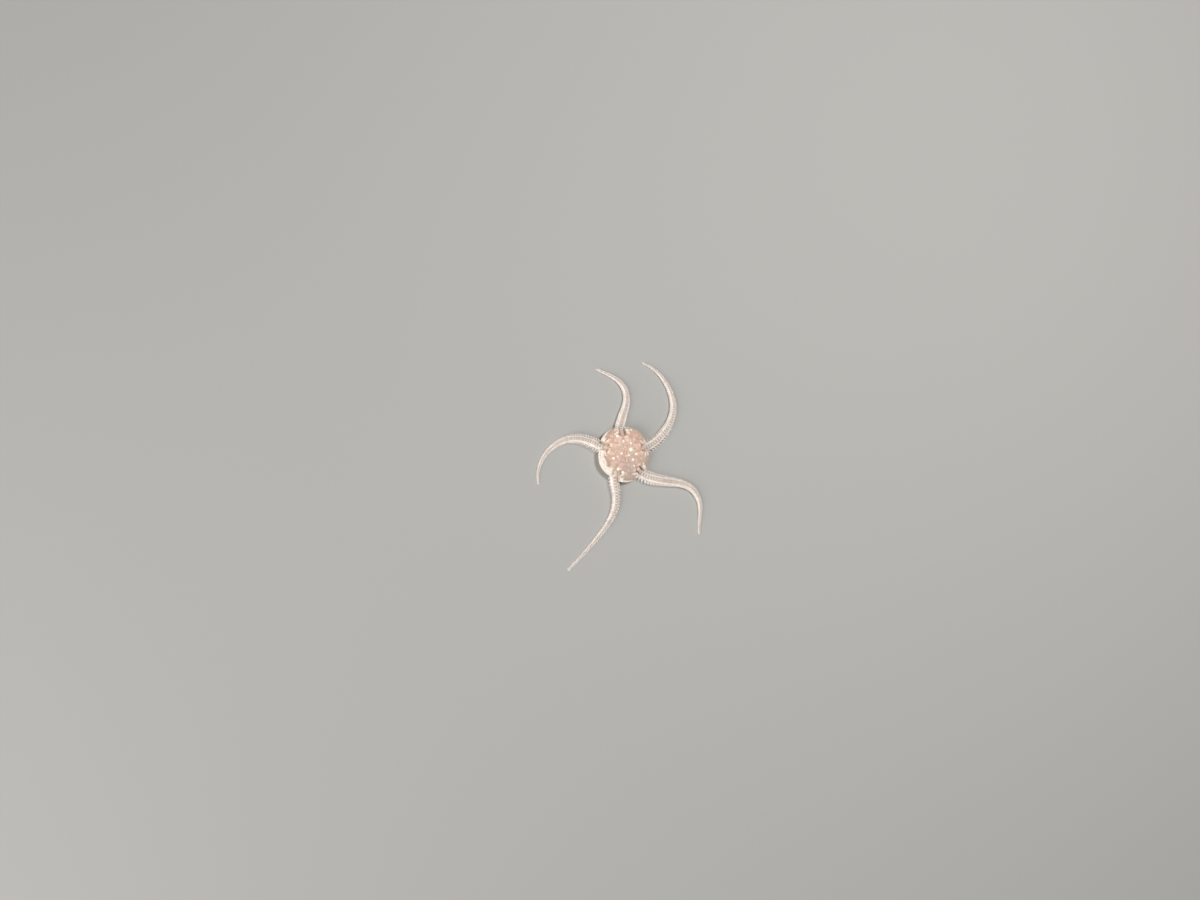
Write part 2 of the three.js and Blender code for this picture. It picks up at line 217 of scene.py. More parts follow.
# The plates of an arm's segment: spans round the section, as edge and widening twice, rows of (place, height,
# edge, share of the bulge), columns, and how far the far edge bulges. The rim and the foot lie lower.
BACK_PLATES = (
    [(-0.155, -0.085, 0.155, 0.085)],
    [(-0.08, -0.02, 0.8, 0.3), (0.25, 0.03, 0.1, 0.5), (0.7, 0.065, 0, 0.9), (0.98, 0.085, 0.1, 1),
     (1.08, 0.04, 1, 1)],
    (0, 0.1, 0.3, 0.5, 0.7, 0.9, 1), 0.13,
)
SIDE_PLATES = (
    [(0.13, 0.09, 0.82, 0), (-0.82, 0, -0.13, -0.09)],
    [(-0.1, -0.02, 0.8, 0), (0.22, 0.02, 0.1, 0.3), (0.65, 0.055, 0, 0.8), (0.96, 0.11, 0.05, 1),
     (1.05, 0.06, 1, 1)],
    (0, 0.08, 0.27, 0.46, 0.65, 0.85, 1), 0.07,
)
UNDER_PLATES = (
    [(0.87, 0.02, 1.13, -0.02)],
    [(0.04, -0.05, 0.8, -0.4), (0.3, -0.02, 0.1, 0.2), (0.75, -0.004, 0, 0.7), (0.98, -0.02, 1, 1)],
    (0, 0.15, 0.5, 0.85, 1), 0.12,
)
TENTACLE_SCALES = (
    [(0.775, 0, 0.85, 0), (-0.85, 0, -0.775, 0)],
    [(0.5, -0.04, 0.8, 0), (0.7, 0.01, 0, 0.5), (0.98, 0, 1, 1)],
    (0, 0.3, 0.7, 1), 0.15,
)
PLATE_RIM = -0.03
PLATE_FOOT = -0.1

# Where each piece's patches lie on the shared unwrap: the arms' strips below, the disc above them.
STRIPS_HEIGHT = 0.46
TOP_MAP = (0.26, 0.73)
UNDER_MAP = (0.76, 0.73)
MAP_SCALE = 0.012
PATCH = 0.003

# Colours of the finishes.
SALMON = (0.70, 0.44, 0.34)
TAN = (0.70, 0.50, 0.385)
UMBER = (0.46, 0.29, 0.21)
CREAM = (0.93, 0.84, 0.74)
PALE = (0.96, 0.88, 0.77)
KEEL = (0.46, 0.375, 0.335)
FLANK = (0.83, 0.73, 0.66)
FAR_FLANK = (0.97, 0.885, 0.83)
SOLE = (0.84, 0.76, 0.66)
ROOT_TAN = (0.74, 0.54, 0.44)
SPINE_ROOT = (0.78, 0.67, 0.59)
SPINE_TIP = (0.98, 0.915, 0.86)
ARM_TIP = (0.58, 0.48, 0.42)

# The painted shade that one side of the back turns to, a duller colour, and that side's direction.
SHADED_SIDE = (0.50, 0.385, 0.33)
SHADED_SIDE_TOWARDS = 288

# How high the cream of the flank reaches, where it is highest, and how much it leans that way.
CREAM_TOP = 4.0
CREAM_TOWARDS = 205
CREAM_LEAN = 0.09

# The finest grain, in waves a metre, how dark the painted shade at the edge of a plate is, and where the
# arms' roots turn tan.
FINE_GRAIN = 5200.0
EDGE_SHADE = 0.42
NEAR_DISC = (0.0148, 0.0115)

# Where the skin turns from the disc's colour to the arms', how deep it lies under their plates, and the webs
# beside their roots: how high their underside is, how far their back is sunk, and their margins along them.
ARM_SKIN_START = 12.5
ARM_SKIN_FADE = 2.5
ARM_SKIN_INSET = 0.13
WEB_FLOOR = 0.7
WEB_SUNK = 0.45
WEB_MARGINS = (0.3, -0.6)

# The photo's view: the camera's angles and distance, the picture's width in pixels, millimetres a pixel, and
# the disc's place from the picture's middle in pixels.
CAMERA_ELEVATION = 66
CAMERA_AWAY = 20
CAMERA_DISTANCE = 1350
SENSOR_WIDTH = 36
IMAGE_WIDTH = 1200
PHOTO_SCALE = 0.56
DISC_LEVEL = 2.5
DISC_FROM_CENTRE = (23, -5)

# Each light's direction and elevation in degrees, its distance and width in metres, and its colour.
KEY_LIGHT = (42, 61, 1.1, 0.3, (1.0, 0.98, 0.95))
FILL_LIGHT = (212, 24, 1.3, 1.0, (1.0, 0.98, 0.96))
SKY_COLOUR = (0.93, 0.96, 1.0, 1.0)
FLOOR_REACH = 4.0


# Forms in the star's frame

def polar(radius, azimuth, level=0.0):
    """A point at a radius and a direction in degrees from the disc's middle."""
    turn = math.radians(azimuth)
    return np.array([radius * math.cos(turn), radius * math.sin(turn), level])


def unit(vector):
    return vector / np.linalg.norm(vector)


def laid(direction, normal):
    """A direction laid on the surface that the normal stands on."""
    return direction - normal * np.dot(direction, normal)


def outline(azimuth):
    """The disc's reach in each direction: full at the lobes, drawn in at the arms."""
    azimuth = np.asarray(azimuth, float)
    reach = np.full(azimuth.shape, WAIST_RADIUS)
    for direction, full in LOBES:
        turn = np.abs((azimuth - direction + 180) % 360 - 180)
        swell = np.maximum(0, np.cos(np.radians(np.minimum(90, turn * LOBE_SPREAD))))
        reach = np.maximum(reach, WAIST_RADIUS + (full - WAIST_RADIUS) * swell ** LOBE_FULLNESS)
    return reach


def disc_points(azimuth, path):
    """Points of the disc: path runs 0 to 1 down the dome, to 2 down the flank, to 3 under the middle."""
    azimuth, path = np.broadcast_arrays(np.asarray(azimuth, float), np.asarray(path, float))
    dome = np.sin(np.clip(path, 0, 1) * math.pi / 2)
    flank = np.clip(path - 1, 0, 1) * math.pi / 2
    share = (dome - (1 - UNDERSIDE_SHARE) * (1 - np.cos(flank))) * (1 - np.clip(path - 2, 0, 1))
    rise = (DISC_HEIGHT - RIM_LEVEL) * np.maximum(0, 1 - dome ** DISC_CROWN) ** DISC_SHOULDER
    level = np.where(path <= 1, RIM_LEVEL + rise, RIM_LEVEL - (RIM_LEVEL - UNDERSIDE_LEVEL) * np.sin(flank))
    radius = outline(azimuth) * share
    turn = np.radians(azimuth)
    return np.stack([radius * np.cos(turn), radius * np.sin(turn), level], -1)


def disc_normals(azimuth, path, step=0.004):
    """Outward directions of the disc's surface."""
    along = disc_points(azimuth, path + step) - disc_points(azimuth, path - step)
    around = disc_points(azimuth + step * 60, path) - disc_points(azimuth - step * 60, path)
    normal = np.cross(along, around)
    return normal / np.linalg.norm(normal, axis=-1, keepdims=True)


class ArmLine:
    """The middle line of an arm on the floor, from under the disc to the tip."""

    def __init__(self, number, azimuth, length, full, spread, headings):
        self.number, self.azimuth, self.length = number, azimuth, length
        self.full, self.spread, self.headings = full, spread, headings
        self.total = STRAIGHT_ROOT + length
        count = int((self.total + INNER_REACH) / LINE_STEP) + 1
        self.distance = np.linspace(-INNER_REACH, self.total, count)
        turn = np.radians(self.heading((self.distance[1:] + self.distance[:-1]) / 2))
        step = self.distance[1] - self.distance[0]
        moves = np.stack([np.cos(turn), np.sin(turn)], -1) * step
        way = np.vstack([np.zeros(2), np.cumsum(moves, 0)])
        root = [np.interp(0.0, self.distance, way[:, k]) for k in range(2)]
        self.points = way - root + polar(ROOT_RADIUS, azimuth)[:2]

    def heading(self, distance):
        place = np.maximum(0, (np.asarray(distance) - STRAIGHT_ROOT) / self.length) * (len(self.headings) - 1)
        bent = np.interp(place, range(len(self.headings)), self.headings)
        inner = np.clip(-np.asarray(distance) / INNER_REACH, 0, 1)
        return bent + (self.azimuth - self.headings[0]) * inner

    def middle(self, distance):
        x, y = (np.interp(distance, self.distance, self.points[:, k]) for k in range(2))
        return np.stack([x, y, np.zeros_like(x)], -1)

    def half_width(self, distance):
        distance = np.asarray(distance, float)
        share = np.clip(distance / self.total, 0, 1)
        outer = TIP_WIDTH + (ARM_WIDTH - TIP_WIDTH) * (1 - share ** self.full) ** ARM_TAPER
        inner = ARM_WIDTH + (INNER_WIDTH - ARM_WIDTH) * np.clip(-distance / INNER_REACH, 0, 1)
        return np.where(distance > 0, outer, inner) / 2

    def rise(self, distance):
        """How much higher the arm is near its root, where its back runs up to the disc's."""
        fade = np.clip(np.asarray(distance, float) / ROOT_RISE_LENGTH, 0, 1)
        return 1 + ROOT_RISE * (1 - fade * fade * (3 - 2 * fade))

    def frame_at(self, distance):
        """The middle, the unit directions ahead and left, and half the width."""
        turn = math.radians(float(self.heading(distance)))
        ahead = np.array([math.cos(turn), math.sin(turn), 0.0])
        left = np.array([-ahead[1], ahead[0], 0.0])
        return self.middle(distance), ahead, left, float(self.half_width(distance))

    def sides(self, points):
        """For points in plan: the distance along the line and the offset to its left."""
        gap = points[:, None, :2] - self.points[None]
        nearest = np.argmin((gap ** 2).sum(-1), 1)
        turn = np.radians(self.heading(self.distance[nearest]))
        away = gap[np.arange(len(points)), nearest]
        ahead = away[:, 0] * np.cos(turn) + away[:, 1] * np.sin(turn)
        left = -away[:, 0] * np.sin(turn) + away[:, 1] * np.cos(turn)
        return self.distance[nearest] + ahead, left


ARM_LINES = [ArmLine(number, *row) for number, row in enumerate(ARMS.values())]
ARM_SIDES = [(line, side) for line in ARM_LINES for side in (1, -1)]


def smooth_section():
    """Half of the arm's section as a dense smooth line: share along it, place and outward direction."""
    half = np.array(HALF_SECTION, float) * [1, 2 * HEIGHT_PER_WIDTH]
    line = np.vstack([half[1] * [-1, 1], half, half[-2] * [-1, 1]])
    dense = []
    for a, b, c, d in zip(line, line[1:], line[2:], line[3:]):
        for t in np.linspace(0, 1, SECTION_STEPS, endpoint=False):
            curve = 2 * b + (c - a) * t + (2 * a - 5 * b + 4 * c - d) * t ** 2
            dense.append((curve + (3 * b - a - 3 * c + d) * t ** 3) / 2)
    dense = np.array(dense + [half[-1]])
    dense[:, 1] = np.maximum(dense[:, 1], 0)
    tangent = np.gradient(dense, axis=0)
    tangent /= np.maximum(np.linalg.norm(tangent, axis=1, keepdims=True), 1e-9)
    run = np.concatenate([[0], np.cumsum(np.linalg.norm(np.diff(dense, axis=0), axis=1))])
    return run / run[-1], dense, np.stack([-tangent[:, 1], tangent[:, 0]], -1)


SECTION = smooth_section()


def section(around, lift=0.0):
    """A point of the arm's section in half widths: around is 0 on the keel and -1 or 1 under the middle."""
    around = (np.asarray(around, float) + 1) % 2 - 1
    share, line, normal = SECTION
    place = np.abs(around)
    across, up = (
        np.interp(place, share, line[:, k]) + lift * np.interp(place, share, normal[:, k]) for k in range(2))
    return across * np.where(around < 0, -1, 1), np.maximum(up, 0)


# Meshes

class Shape:
    """Points in the star's frame, faces, and the numbers that the materials read at each point."""

    def __init__(self):
        self.points, self.faces, self.values, self.count = [], [], {}, 0

    def add(self, points, faces, **values):
        points = np.asarray(points, float)
        self.faces.extend(tuple(int(i) + self.count for i in face) for face in faces)
        self.points.append(points)
        for name, value in values.items():
            filled = np.broadcast_to(np.asarray(value, float), (len(points),) + np.shape(value)[1:])
            self.values.setdefault(name, []).append(filled)
        self.count += len(points)

    def mesh(self, name, scale=MM, place=DISC_PLACE):
        mesh = bpy.data.meshes.new(name)
        mesh.from_pydata(((np.vstack(self.points) + place) * scale).tolist(), [], self.faces)
        for value_name, parts in self.values.items():
            write_value(mesh, value_name, np.concatenate(parts))
        mesh.validate()
        return mesh


def write_value(mesh, name, values):
    """One number or one direction for each point, or the bake's map from a pair for each point."""
    if name == "OFBake":
        layer = mesh.uv_layers.new(name=name)
        corner = np.empty(len(mesh.loops), int)
        mesh.loops.foreach_get("vertex_index", corner)
        layer.data.foreach_set("uv", values[corner].ravel())
        return
    kind, slot = ("FLOAT", "value") if values.ndim == 1 else ("FLOAT_VECTOR", "vector")
    attribute = mesh.attributes.new(name, kind, "POINT")
    attribute.data.foreach_set(slot, values.astype(np.float32).ravel())


def add_object(name, mesh):
    piece = bpy.data.objects.new(name, mesh)
    bpy.context.scene.collection.objects.link(piece)
    return piece


def remove_object(piece):
    mesh = piece.data
    bpy.data.objects.remove(piece)
    if mesh.users == 0:
        bpy.data.meshes.remove(mesh)


def applied(piece):
    """The piece's mesh with its modifiers applied, which are then removed."""
    bpy.context.view_layer.update()
    graph = bpy.context.evaluated_depsgraph_get()
    mesh = bpy.data.meshes.new_from_object(piece.evaluated_get(graph))
    piece.modifiers.clear()
    old, piece.data = piece.data, mesh
    bpy.data.meshes.remove(old)
    mesh.name = piece.name
    return mesh


def finish_piece(piece, material):
    """Gives a piece its material and finish, and lets it ride on the body."""
    if len(piece.data.polygons) == 0:
        raise RuntimeError(f"{piece.name} has no faces")
    piece.data.materials.clear()
    piece.data.materials.append(material)
    piece.data.shade_smooth()
    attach(piece, BODY)


def stacked_rings(rings, top=None, bottom=None):
    """Points and faces of a closed body of rings from its top down, each end a point or one flat face."""
    count = len(rings[0])
    last = (len(rings) - 1) * count
    points = np.vstack([*rings, *([end] for end in (top, bottom) if end is not None)])
    faces = []
    for a in range(0, last, count):
        b = a + count
        faces.extend((a + i, b + i, b + (i + 1) % count, a + (i + 1) % count) for i in range(count))
    if top is None:
        faces.append(tuple(range(count)))
    else:
        faces.extend((last + count, i, (i + 1) % count) for i in range(count))
    if bottom is None:
        faces.append(tuple(last + i for i in reversed(range(count))))
    else:
        faces.extend((len(points) - 1, last + (i + 1) % count, last + i) for i in range(count))
    return points, faces


def disc_form(inset, sides=200, dome_rows=40, flank_rows=18):
    """The whole disc as a closed mesh, drawn in by an inset."""
    azimuth = np.arange(sides) * 360 / sides
    dome, flank = np.linspace(0, 1, dome_rows + 1)[1:], np.linspace(1, 2, flank_rows + 1)[1:]
    paths = (*dome, *flank, 2.5)
    rings = [disc_points(azimuth, p) - disc_normals(azimuth, np.full(sides, p)) * inset for p in paths]
    return stacked_rings(rings, [0, 0, DISC_HEIGHT - inset], [0, 0, UNDERSIDE_LEVEL + inset])


def disc_surface():
    points, faces = disc_form(0.0)
    return BVHTree.FromPolygons([Vector(point) for point in points], faces)


DISC = disc_surface()


def drop_on(point, normal, reach=2.0):
    """The disc's surface under a point, along a direction, and its outward direction there."""
    start = Vector(point) + Vector(normal) * reach
    hit, direction, _, _ = DISC.ray_cast(start, -Vector(normal), reach * 2.5)
    if hit is None:
        return np.asarray(point, float), np.asarray(normal, float)
    return np.array(hit), np.array(direction)


def on_map(points):
    """Where points of the disc lie on the unwrap: by their way from the pole, or plainly on the underside."""
    points = np.atleast_2d(points)
    radius = np.hypot(points[:, 0], points[:, 1])
    turn = np.arctan2(points[:, 1], points[:, 0])
    sole_reach = outline(np.degrees(turn)) * (UNDERSIDE_SHARE + 0.03)
    under = (points[:, 2] < UNDERSIDE_LEVEL + 0.5) & (radius < sole_reach)
    way = radius + np.where(under, 0, 0.8 * np.maximum(0, DISC_HEIGHT - points[:, 2]))
    place = np.where(under[:, None], UNDER_MAP, TOP_MAP)
    return place + np.stack([np.cos(turn), np.sin(turn)], -1) * way[:, None] * MAP_SCALE


def raised_plate(shape, middle, normal, ahead, loop, form, height, tilt=0.0, **values):
    """A closed plate on the disc, with its outline as (ahead, aside) pairs."""
    crown, rows, foot = form
    normal = unit(np.asarray(normal, float))
    ahead = unit(laid(ahead, normal))
    aside = np.cross(normal, ahead)
    reach = float(np.max(np.linalg.norm(loop, axis=1)))
    centre = loop.mean(0)

    def raised(flat, lift):
        hit, direction = drop_on(middle + ahead * flat[0] + aside * flat[1], normal)
        return hit + direction * (lift + (tilt * flat[0] / reach if lift > 0 else 0))

    profile = [(size, height * share, edge) for size, share, edge in rows] + [(*foot, 1.0)]
    rings = [[raised(flat, lift) for flat in centre + (loop - centre) * size] for size, lift, _ in profile]
    points, faces = stacked_rings(rings, raised(centre, height * crown))
    points[:, 2] = np.maximum(points[:, 2], 0)
    edge = np.append(np.repeat([row[2] for row in profile], len(loop)), 0.0)
    along = np.concatenate([centre[0] + (loop[:, 0] - centre[0]) * row[0] for row in profile] + [[centre[0]]])
    shape.add(points, faces, edge=edge, along=along / reach, OFBake=on_map(points), **values)


# Nodes

class Term:
    """A node's output, whose arithmetic adds math nodes."""

    def __init__(self, nodes, socket):
        self.nodes, self.socket = nodes, socket

    def __add__(self, other):
        return self.nodes.math("ADD", self, other)

    def __sub__(self, other):
        return self.nodes.math("SUBTRACT", self, other)

    def __rsub__(self, other):
        return self.nodes.math("SUBTRACT", other, self)

    def __mul__(self, other):
        return self.nodes.math("MULTIPLY", self, other)

    def __truediv__(self, other):
        return self.nodes.math("DIVIDE", self, other)

    def __gt__(self, other):
        return self.nodes.math("GREATER_THAN", self, other)

    def __abs__(self):
        return self.nodes.math("ABSOLUTE", self)

    __radd__ = __add__
    __rmul__ = __mul__


class Nodes:
    """Adds nodes to a tree, with their inputs given as values or as other nodes' outputs."""

    def __init__(self, tree):
        self.tree = tree

    def add(self, kind, inputs=None, output=0, **settings):
        node = self.tree.nodes.new(kind)
        for name, value in settings.items():
            setattr(node, name, value)
        for key, value in (inputs or {}).items():
            self.put(self.find(node.inputs, key), value)
        return Term(self, self.find(node.outputs, output))

    def find(self, sockets, key):
        shown = [item for item in sockets if item.enabled]
        if isinstance(key, int):
            return shown[key]
        return next(item for item in shown if item.name == key)

    def put(self, socket, value):
        if isinstance(value, Term):
            self.tree.links.new(value.socket, socket)
        else:
            socket.default_value = value

    def math(self, operation, *values):
        return self.add("ShaderNodeMath", dict(enumerate(values)), operation=operation)

    def vector(self, operation, *values, output=0):
        return self.add("ShaderNodeVectorMath", dict(enumerate(values)), output, operation=operation)

    def scaled(self, a, factor):
        return self.add("ShaderNodeVectorMath", {0: a, "Scale": factor}, operation="SCALE")

    def combined(self, x, y, z):
        return self.add("ShaderNodeCombineXYZ", {"X": x, "Y": y, "Z": z})

    def split(self, vector):
        node = self.tree.nodes.new("ShaderNodeSeparateXYZ")
        self.put(node.inputs[0], vector)
        return [Term(self, output) for output in node.outputs]


class GeometryTree(Nodes):
    """A Geometry Nodes tree with named inputs, kept by their identifiers."""

    def __init__(self, name, sizes):
        super().__init__(bpy.data.node_groups.new(name, "GeometryNodeTree"))
        face = self.tree.interface
        face.new_socket("Geometry", in_out="INPUT", socket_type="NodeSocketGeometry")
        face.new_socket("Geometry", in_out="OUTPUT", socket_type="NodeSocketGeometry")
        self.identifiers = {}
        for size, kind in sizes.items():
            item = face.new_socket(size, in_out="INPUT", socket_type=f"NodeSocket{kind}")
            self.identifiers[size] = item.identifier
        self.input = self.tree.nodes.new("NodeGroupInput")

    def value(self, name):
        return Term(self, self.input.outputs[name])

    def named(self, name, kind="FLOAT"):
        return self.add("GeometryNodeInputNamedAttribute", {"Name": name}, data_type=kind)

    def chance(self, low, high):
        return self.add("FunctionNodeRandomValue", {"Min": low, "Max": high, "Seed": self.value("Seed")})

    def store(self, geometry, name, value, kind="FLOAT", domain="POINT"):
        return self.add("GeometryNodeStoreNamedAttribute",
                        {"Geometry": geometry, "Name": name, "Value": value}, data_type=kind, domain=domain)

    def moved(self, geometry, place):
        return self.add("GeometryNodeSetPosition", {"Geometry": geometry, "Position": place})

    def instanced(self, points, piece, scale, **turned):
        inputs = {"Points": points, "Instance": piece, "Scale": scale, **turned}
        instances = self.add("GeometryNodeInstanceOnPoints", inputs)
        return self.add("GeometryNodeRealizeInstances", {"Geometry": instances})

    def finish(self, geometry):
        """Sets the material and passes the geometry on."""
        material = self.value("Material")
        painted = self.add("GeometryNodeSetMaterial", {"Geometry": geometry, "Material": material})
        output = self.tree.nodes.new("NodeGroupOutput")
        self.put(output.inputs[0], painted)

    def run(self, piece, values):
        """Gives the piece the mesh that this tree makes of it."""
        modifier = piece.modifiers.new(self.tree.name, "NODES")
        modifier.node_group = self.tree
        for name, value in values.items():
            modifier[self.identifiers[name]] = value
        applied(piece)


def plates_tree():
    """Sets a ring of plates on every segment of the arms and bends them all along the arms' lines."""
    tree = GeometryTree("Plates along arms", {
        "Plates": "Object", "Segments": "Int", "First Segment": "Int", "Arms": "Int", "Taper": "Float",
        "Lift Variation": "Float", "Seed": "Int", "Material": "Material",
    })
    segments = tree.value("Segments")
    lines = tree.add("GeometryNodeMeshToCurve", {"Mesh": tree.value("Geometry")})
    points = tree.add("GeometryNodePoints", {"Count": segments * tree.value("Arms")})
    index = tree.add("GeometryNodeInputIndex")
    arm = tree.math("FLOOR", index / segments)
    number = index - arm * segments

    def start(segment):
        share = segment / segments
        return share * (1.0 + tree.value("Taper") * (1.0 - share))

    here, after = start(number), start(number + 1.0)
    stored = {"arm": arm, "segment": number, "pitch": after - here, "tone": tree.chance(0.0, 1.0)}
    for name, value in stored.items():
        points = tree.store(points, name, value)
    points = tree.moved(points, tree.combined(here, 0.0, 0.0))
    early = tree.add("FunctionNodeCompare", {0: tree.named("segment"), 1: tree.value("First Segment")},
                     data_type="FLOAT", operation="LESS_THAN")
    points = tree.add("GeometryNodeDeleteGeometry", {"Geometry": points, "Selection": early})
    plates = tree.add("GeometryNodeObjectInfo", {"Object": tree.value("Plates")}, output="Geometry")
    girth = 1.0 + (tree.named("tone") - 0.5) * tree.value("Lift Variation")
    whole = tree.instanced(points, plates, tree.combined(tree.named("pitch"), girth, girth))
    x, y, z = tree.split(tree.add("GeometryNodeInputPosition"))

    def sampled(output, value="half_width"):
        inputs = {"Curves": lines, "Value": tree.named(value), "Factor": x, "Curve Index": tree.named("arm")}
        return tree.add("GeometryNodeSampleCurve", inputs, output, mode="FACTOR", use_all_curves=False)

    width, rise = sampled("Value"), sampled("Value", "rise")
    left = tree.vector("NORMALIZE", tree.vector("CROSS_PRODUCT", (0.0, 0.0, 1.0), sampled("Tangent")))
    place = tree.vector("ADD", sampled("Position"), tree.scaled(left, y * width))
    place = tree.vector("ADD", place, tree.combined(0.0, 0.0, z * width * rise))
    whole = tree.store(whole, "share", x)
    strip = tree.named("arm") + (0.5 + 0.41 * tree.named("around"))
    flat = tree.combined(x, strip * (STRIPS_HEIGHT / len(ARMS)), 0.0)
    whole = tree.store(whole, "OFBake", flat, "FLOAT2", "CORNER")
    tree.finish(tree.moved(whole, place))
    return tree


def spines_tree():
    """Sets a tapered, slightly bent spine with a rounded end on every point, along its own direction."""
    tree = GeometryTree("Spines on points", {
        "Thickness": "Float", "Length": "Float", "Tip Share": "Float", "Bend": "Float",
        "Length Variation": "Float", "Sides": "Int", "Seed": "Int", "Material": "Material",
    })
    cone = tree.add("GeometryNodeMeshCone", {
        "Vertices": tree.value("Sides"), "Side Segments": 3, "Radius Top": tree.value("Tip Share"),
        "Radius Bottom": 1.0, "Depth": 1.0,
    }, fill_type="TRIANGLE_FAN")
    x, y, z = tree.split(tree.add("GeometryNodeInputPosition"))
    cone = tree.store(cone, "tip", z)
    cone = tree.store(cone, "patch", tree.combined(x * 0.5, z - 0.5, 0.0), "FLOAT_VECTOR")
    bent = tree.value("Bend") * (z * z)
    swell = 1.0 + 0.5 * (z * (1.0 - z))
    wall = abs(x) + abs(y) > 0.01
    rounded = (z > 0.99) * wall * -0.09
    cone = tree.moved(cone, tree.combined(x * swell + bent, y * swell, z + rounded))
    turn = tree.add("FunctionNodeAxesToRotation", {
        "Primary Axis": tree.named("direction", "FLOAT_VECTOR"),
        "Secondary Axis": tree.named("lean", "FLOAT_VECTOR"),
    }, primary_axis="Z", secondary_axis="X")
    chance = tree.chance(-1.0, 1.0)
    points = tree.store(tree.value("Geometry"), "tone", 0.5 + 0.5 * chance)
    girth = tree.named("girth") * (tree.value("Thickness") * 0.5)
    length = tree.named("length") * (tree.value("Length") * (1.0 + chance * tree.value("Length Variation")))
    whole = tree.instanced(points, cone, tree.combined(girth, girth, length), Rotation=turn)
    patch = tree.scaled(tree.named("patch", "FLOAT_VECTOR"), PATCH)
    flat = tree.vector("ADD", tree.named("root", "FLOAT_VECTOR"), patch)
    tree.finish(tree.store(whole, "OFBake", flat, "FLOAT2", "CORNER"))
    return tree


class SpinePoints:
    """Points that each carry a spine: its direction, the side it bends to, its size and its patch."""

    def __init__(self):
        self.rows = []

    def add(self, place, direction, lean, length, girth, root):
        direction = unit(np.asarray(direction, float))
        self.rows.append((place, direction, lean, length * MM, girth * MM, (*root[:2], 0.0)))

    def object(self, name):
        place, *columns = (np.array(column, float) for column in zip(*self.rows))
        mesh = bpy.data.meshes.new(name)
        mesh.from_pydata(((place + DISC_PLACE) * MM).tolist(), [], [])
        for value_name, values in zip(("direction", "lean", "length", "girth", "root"), columns):
            write_value(mesh, value_name, values)
        return add_object(name, mesh)


# Materials

class Paint(Nodes):
    """A material's nodes, with short ways to the patterns that the star's finishes share."""

    def __init__(self, name):
        self.material = bpy.data.materials.new(name)
        self.material.use_nodes = True
        super().__init__(self.material.node_tree)
        self.shader = self.tree.nodes["Principled BSDF"]
        self.place = self.add("ShaderNodeTexCoord", output="Object")

    def value(self, name):
        return self.add("ShaderNodeAttribute", attribute_name=name, output="Fac")

    def noise(self, scale, detail=2.0, rough=0.5, place=None):
        return self.add("ShaderNodeTexNoise", {
            "Vector": place or self.place, "Scale": scale, "Detail": detail, "Roughness": rough,
        }, output="Fac")

    def band(self, value, low, high, kind="SMOOTHSTEP", ends=(0.0, 1.0)):
        return self.add("ShaderNodeMapRange", {
            "Value": value, "From Min": low, "From Max": high, "To Min": ends[0], "To Max": ends[1],
        }, interpolation_type=kind)

    def mix(self, factor, a, b, blend="MIX"):
        a, b = ((*side, 1.0) if isinstance(side, tuple) else side for side in (a, b))
        inputs = {"Factor": factor, "A": a, "B": b}
        return self.add("ShaderNodeMix", inputs, data_type="RGBA", blend_type=blend)

    def dimmed(self, colour, factor):
        """The colour times a grey factor."""
        return self.mix(1.0, colour, self.combined(factor, factor, factor), "MULTIPLY")

    def toned(self, colour, low, more):
        """The colour in each plate's own tone."""
        return self.dimmed(colour, low + self.value("tone") * more)

    def edged(self, colour, low, high, depth):
        """The colour with painted shade, darker towards the edge of each plate."""
        edge = self.band(self.value("edge"), low, high) * depth
        return self.mix(edge, colour, self.dimmed(colour, EDGE_SHADE))

    def bump(self, height, strength, distance, under=None):
        inputs = {"Height": height, "Strength": strength, "Distance": distance}
        if under is not None:
            inputs["Normal"] = under
        return self.add("ShaderNodeBump", inputs)

    def from_middle(self):
        """The way from the disc's middle, in metres."""
        return self.vector("SUBTRACT", self.place, tuple(c * MM for c in DISC_PLACE))

    def finish(self, colour, rough_low, rough_high, normal, subsurface=0.0):
        rough = self.band(self.noise(900.0, 3.0), 0.3, 0.7, "LINEAR", (rough_low, rough_high))
        values = {
            "Base Color": colour, "Roughness": rough, "Normal": normal, "Specular IOR Level": 0.45,
            "Subsurface Weight": subsurface, "Subsurface Radius": (1.0, 0.6, 0.4), "Subsurface Scale": 0.0008,
        }
        for name, value in values.items():
            self.put(self.shader.inputs[name], value)
        return self.material


def way_towards(paint, azimuth):
    """How far a point lies from the disc's middle towards a direction, in metres."""
    return paint.vector("DOT_PRODUCT", paint.from_middle(), tuple(polar(1, azimuth)), output="Value")


def over_cream(paint):
    """The height over the top of the flank's cream, in metres."""
    level = paint.split(paint.place)[2]
    return level - way_towards(paint, CREAM_TOWARDS) * CREAM_LEAN - CREAM_TOP * MM


def near_disc(paint):
    """1 on what lies inside the disc's notches, and 0 further out."""
    plan = paint.vector("MULTIPLY", paint.from_middle(), (1.0, 1.0, 0.0))
    return paint.band(paint.vector("LENGTH", plan, output="Value"), *NEAR_DISC)


def back_colour(paint):
    """The mottled salmon of the back, which turns cream down the flanks and under the star, with painted
    shade on one side and a painted shade line just over the cream.
    """
    colour = paint.mix(paint.band(paint.noise(170.0, 3.0, 0.55), 0.38, 0.62), SALMON, TAN)
    colour = paint.mix(paint.band(paint.noise(420.0, 3.0, 0.6), 0.54, 0.72) * 0.28, colour, UMBER)
    # Painted shade: the back turns duller towards one side.
    colour = paint.mix(paint.band(way_towards(paint, SHADED_SIDE_TOWARDS), -0.003, 0.0125) * 0.85, colour, SHADED_SIDE)
    level = over_cream(paint) + (paint.noise(150.0, 2.0) - 0.5) * 0.0024
    colour = paint.mix(paint.band(level, 0.0, 0.0004), CREAM, colour)
    # Painted shade: a dark line in the crease just over the top of the flank's cream.
    crease_shade = paint.band(level, 0.0, 0.0003) * paint.band(level, 0.0011, 0.0004)
    return paint.mix(crease_shade * 0.5, colour, UMBER)


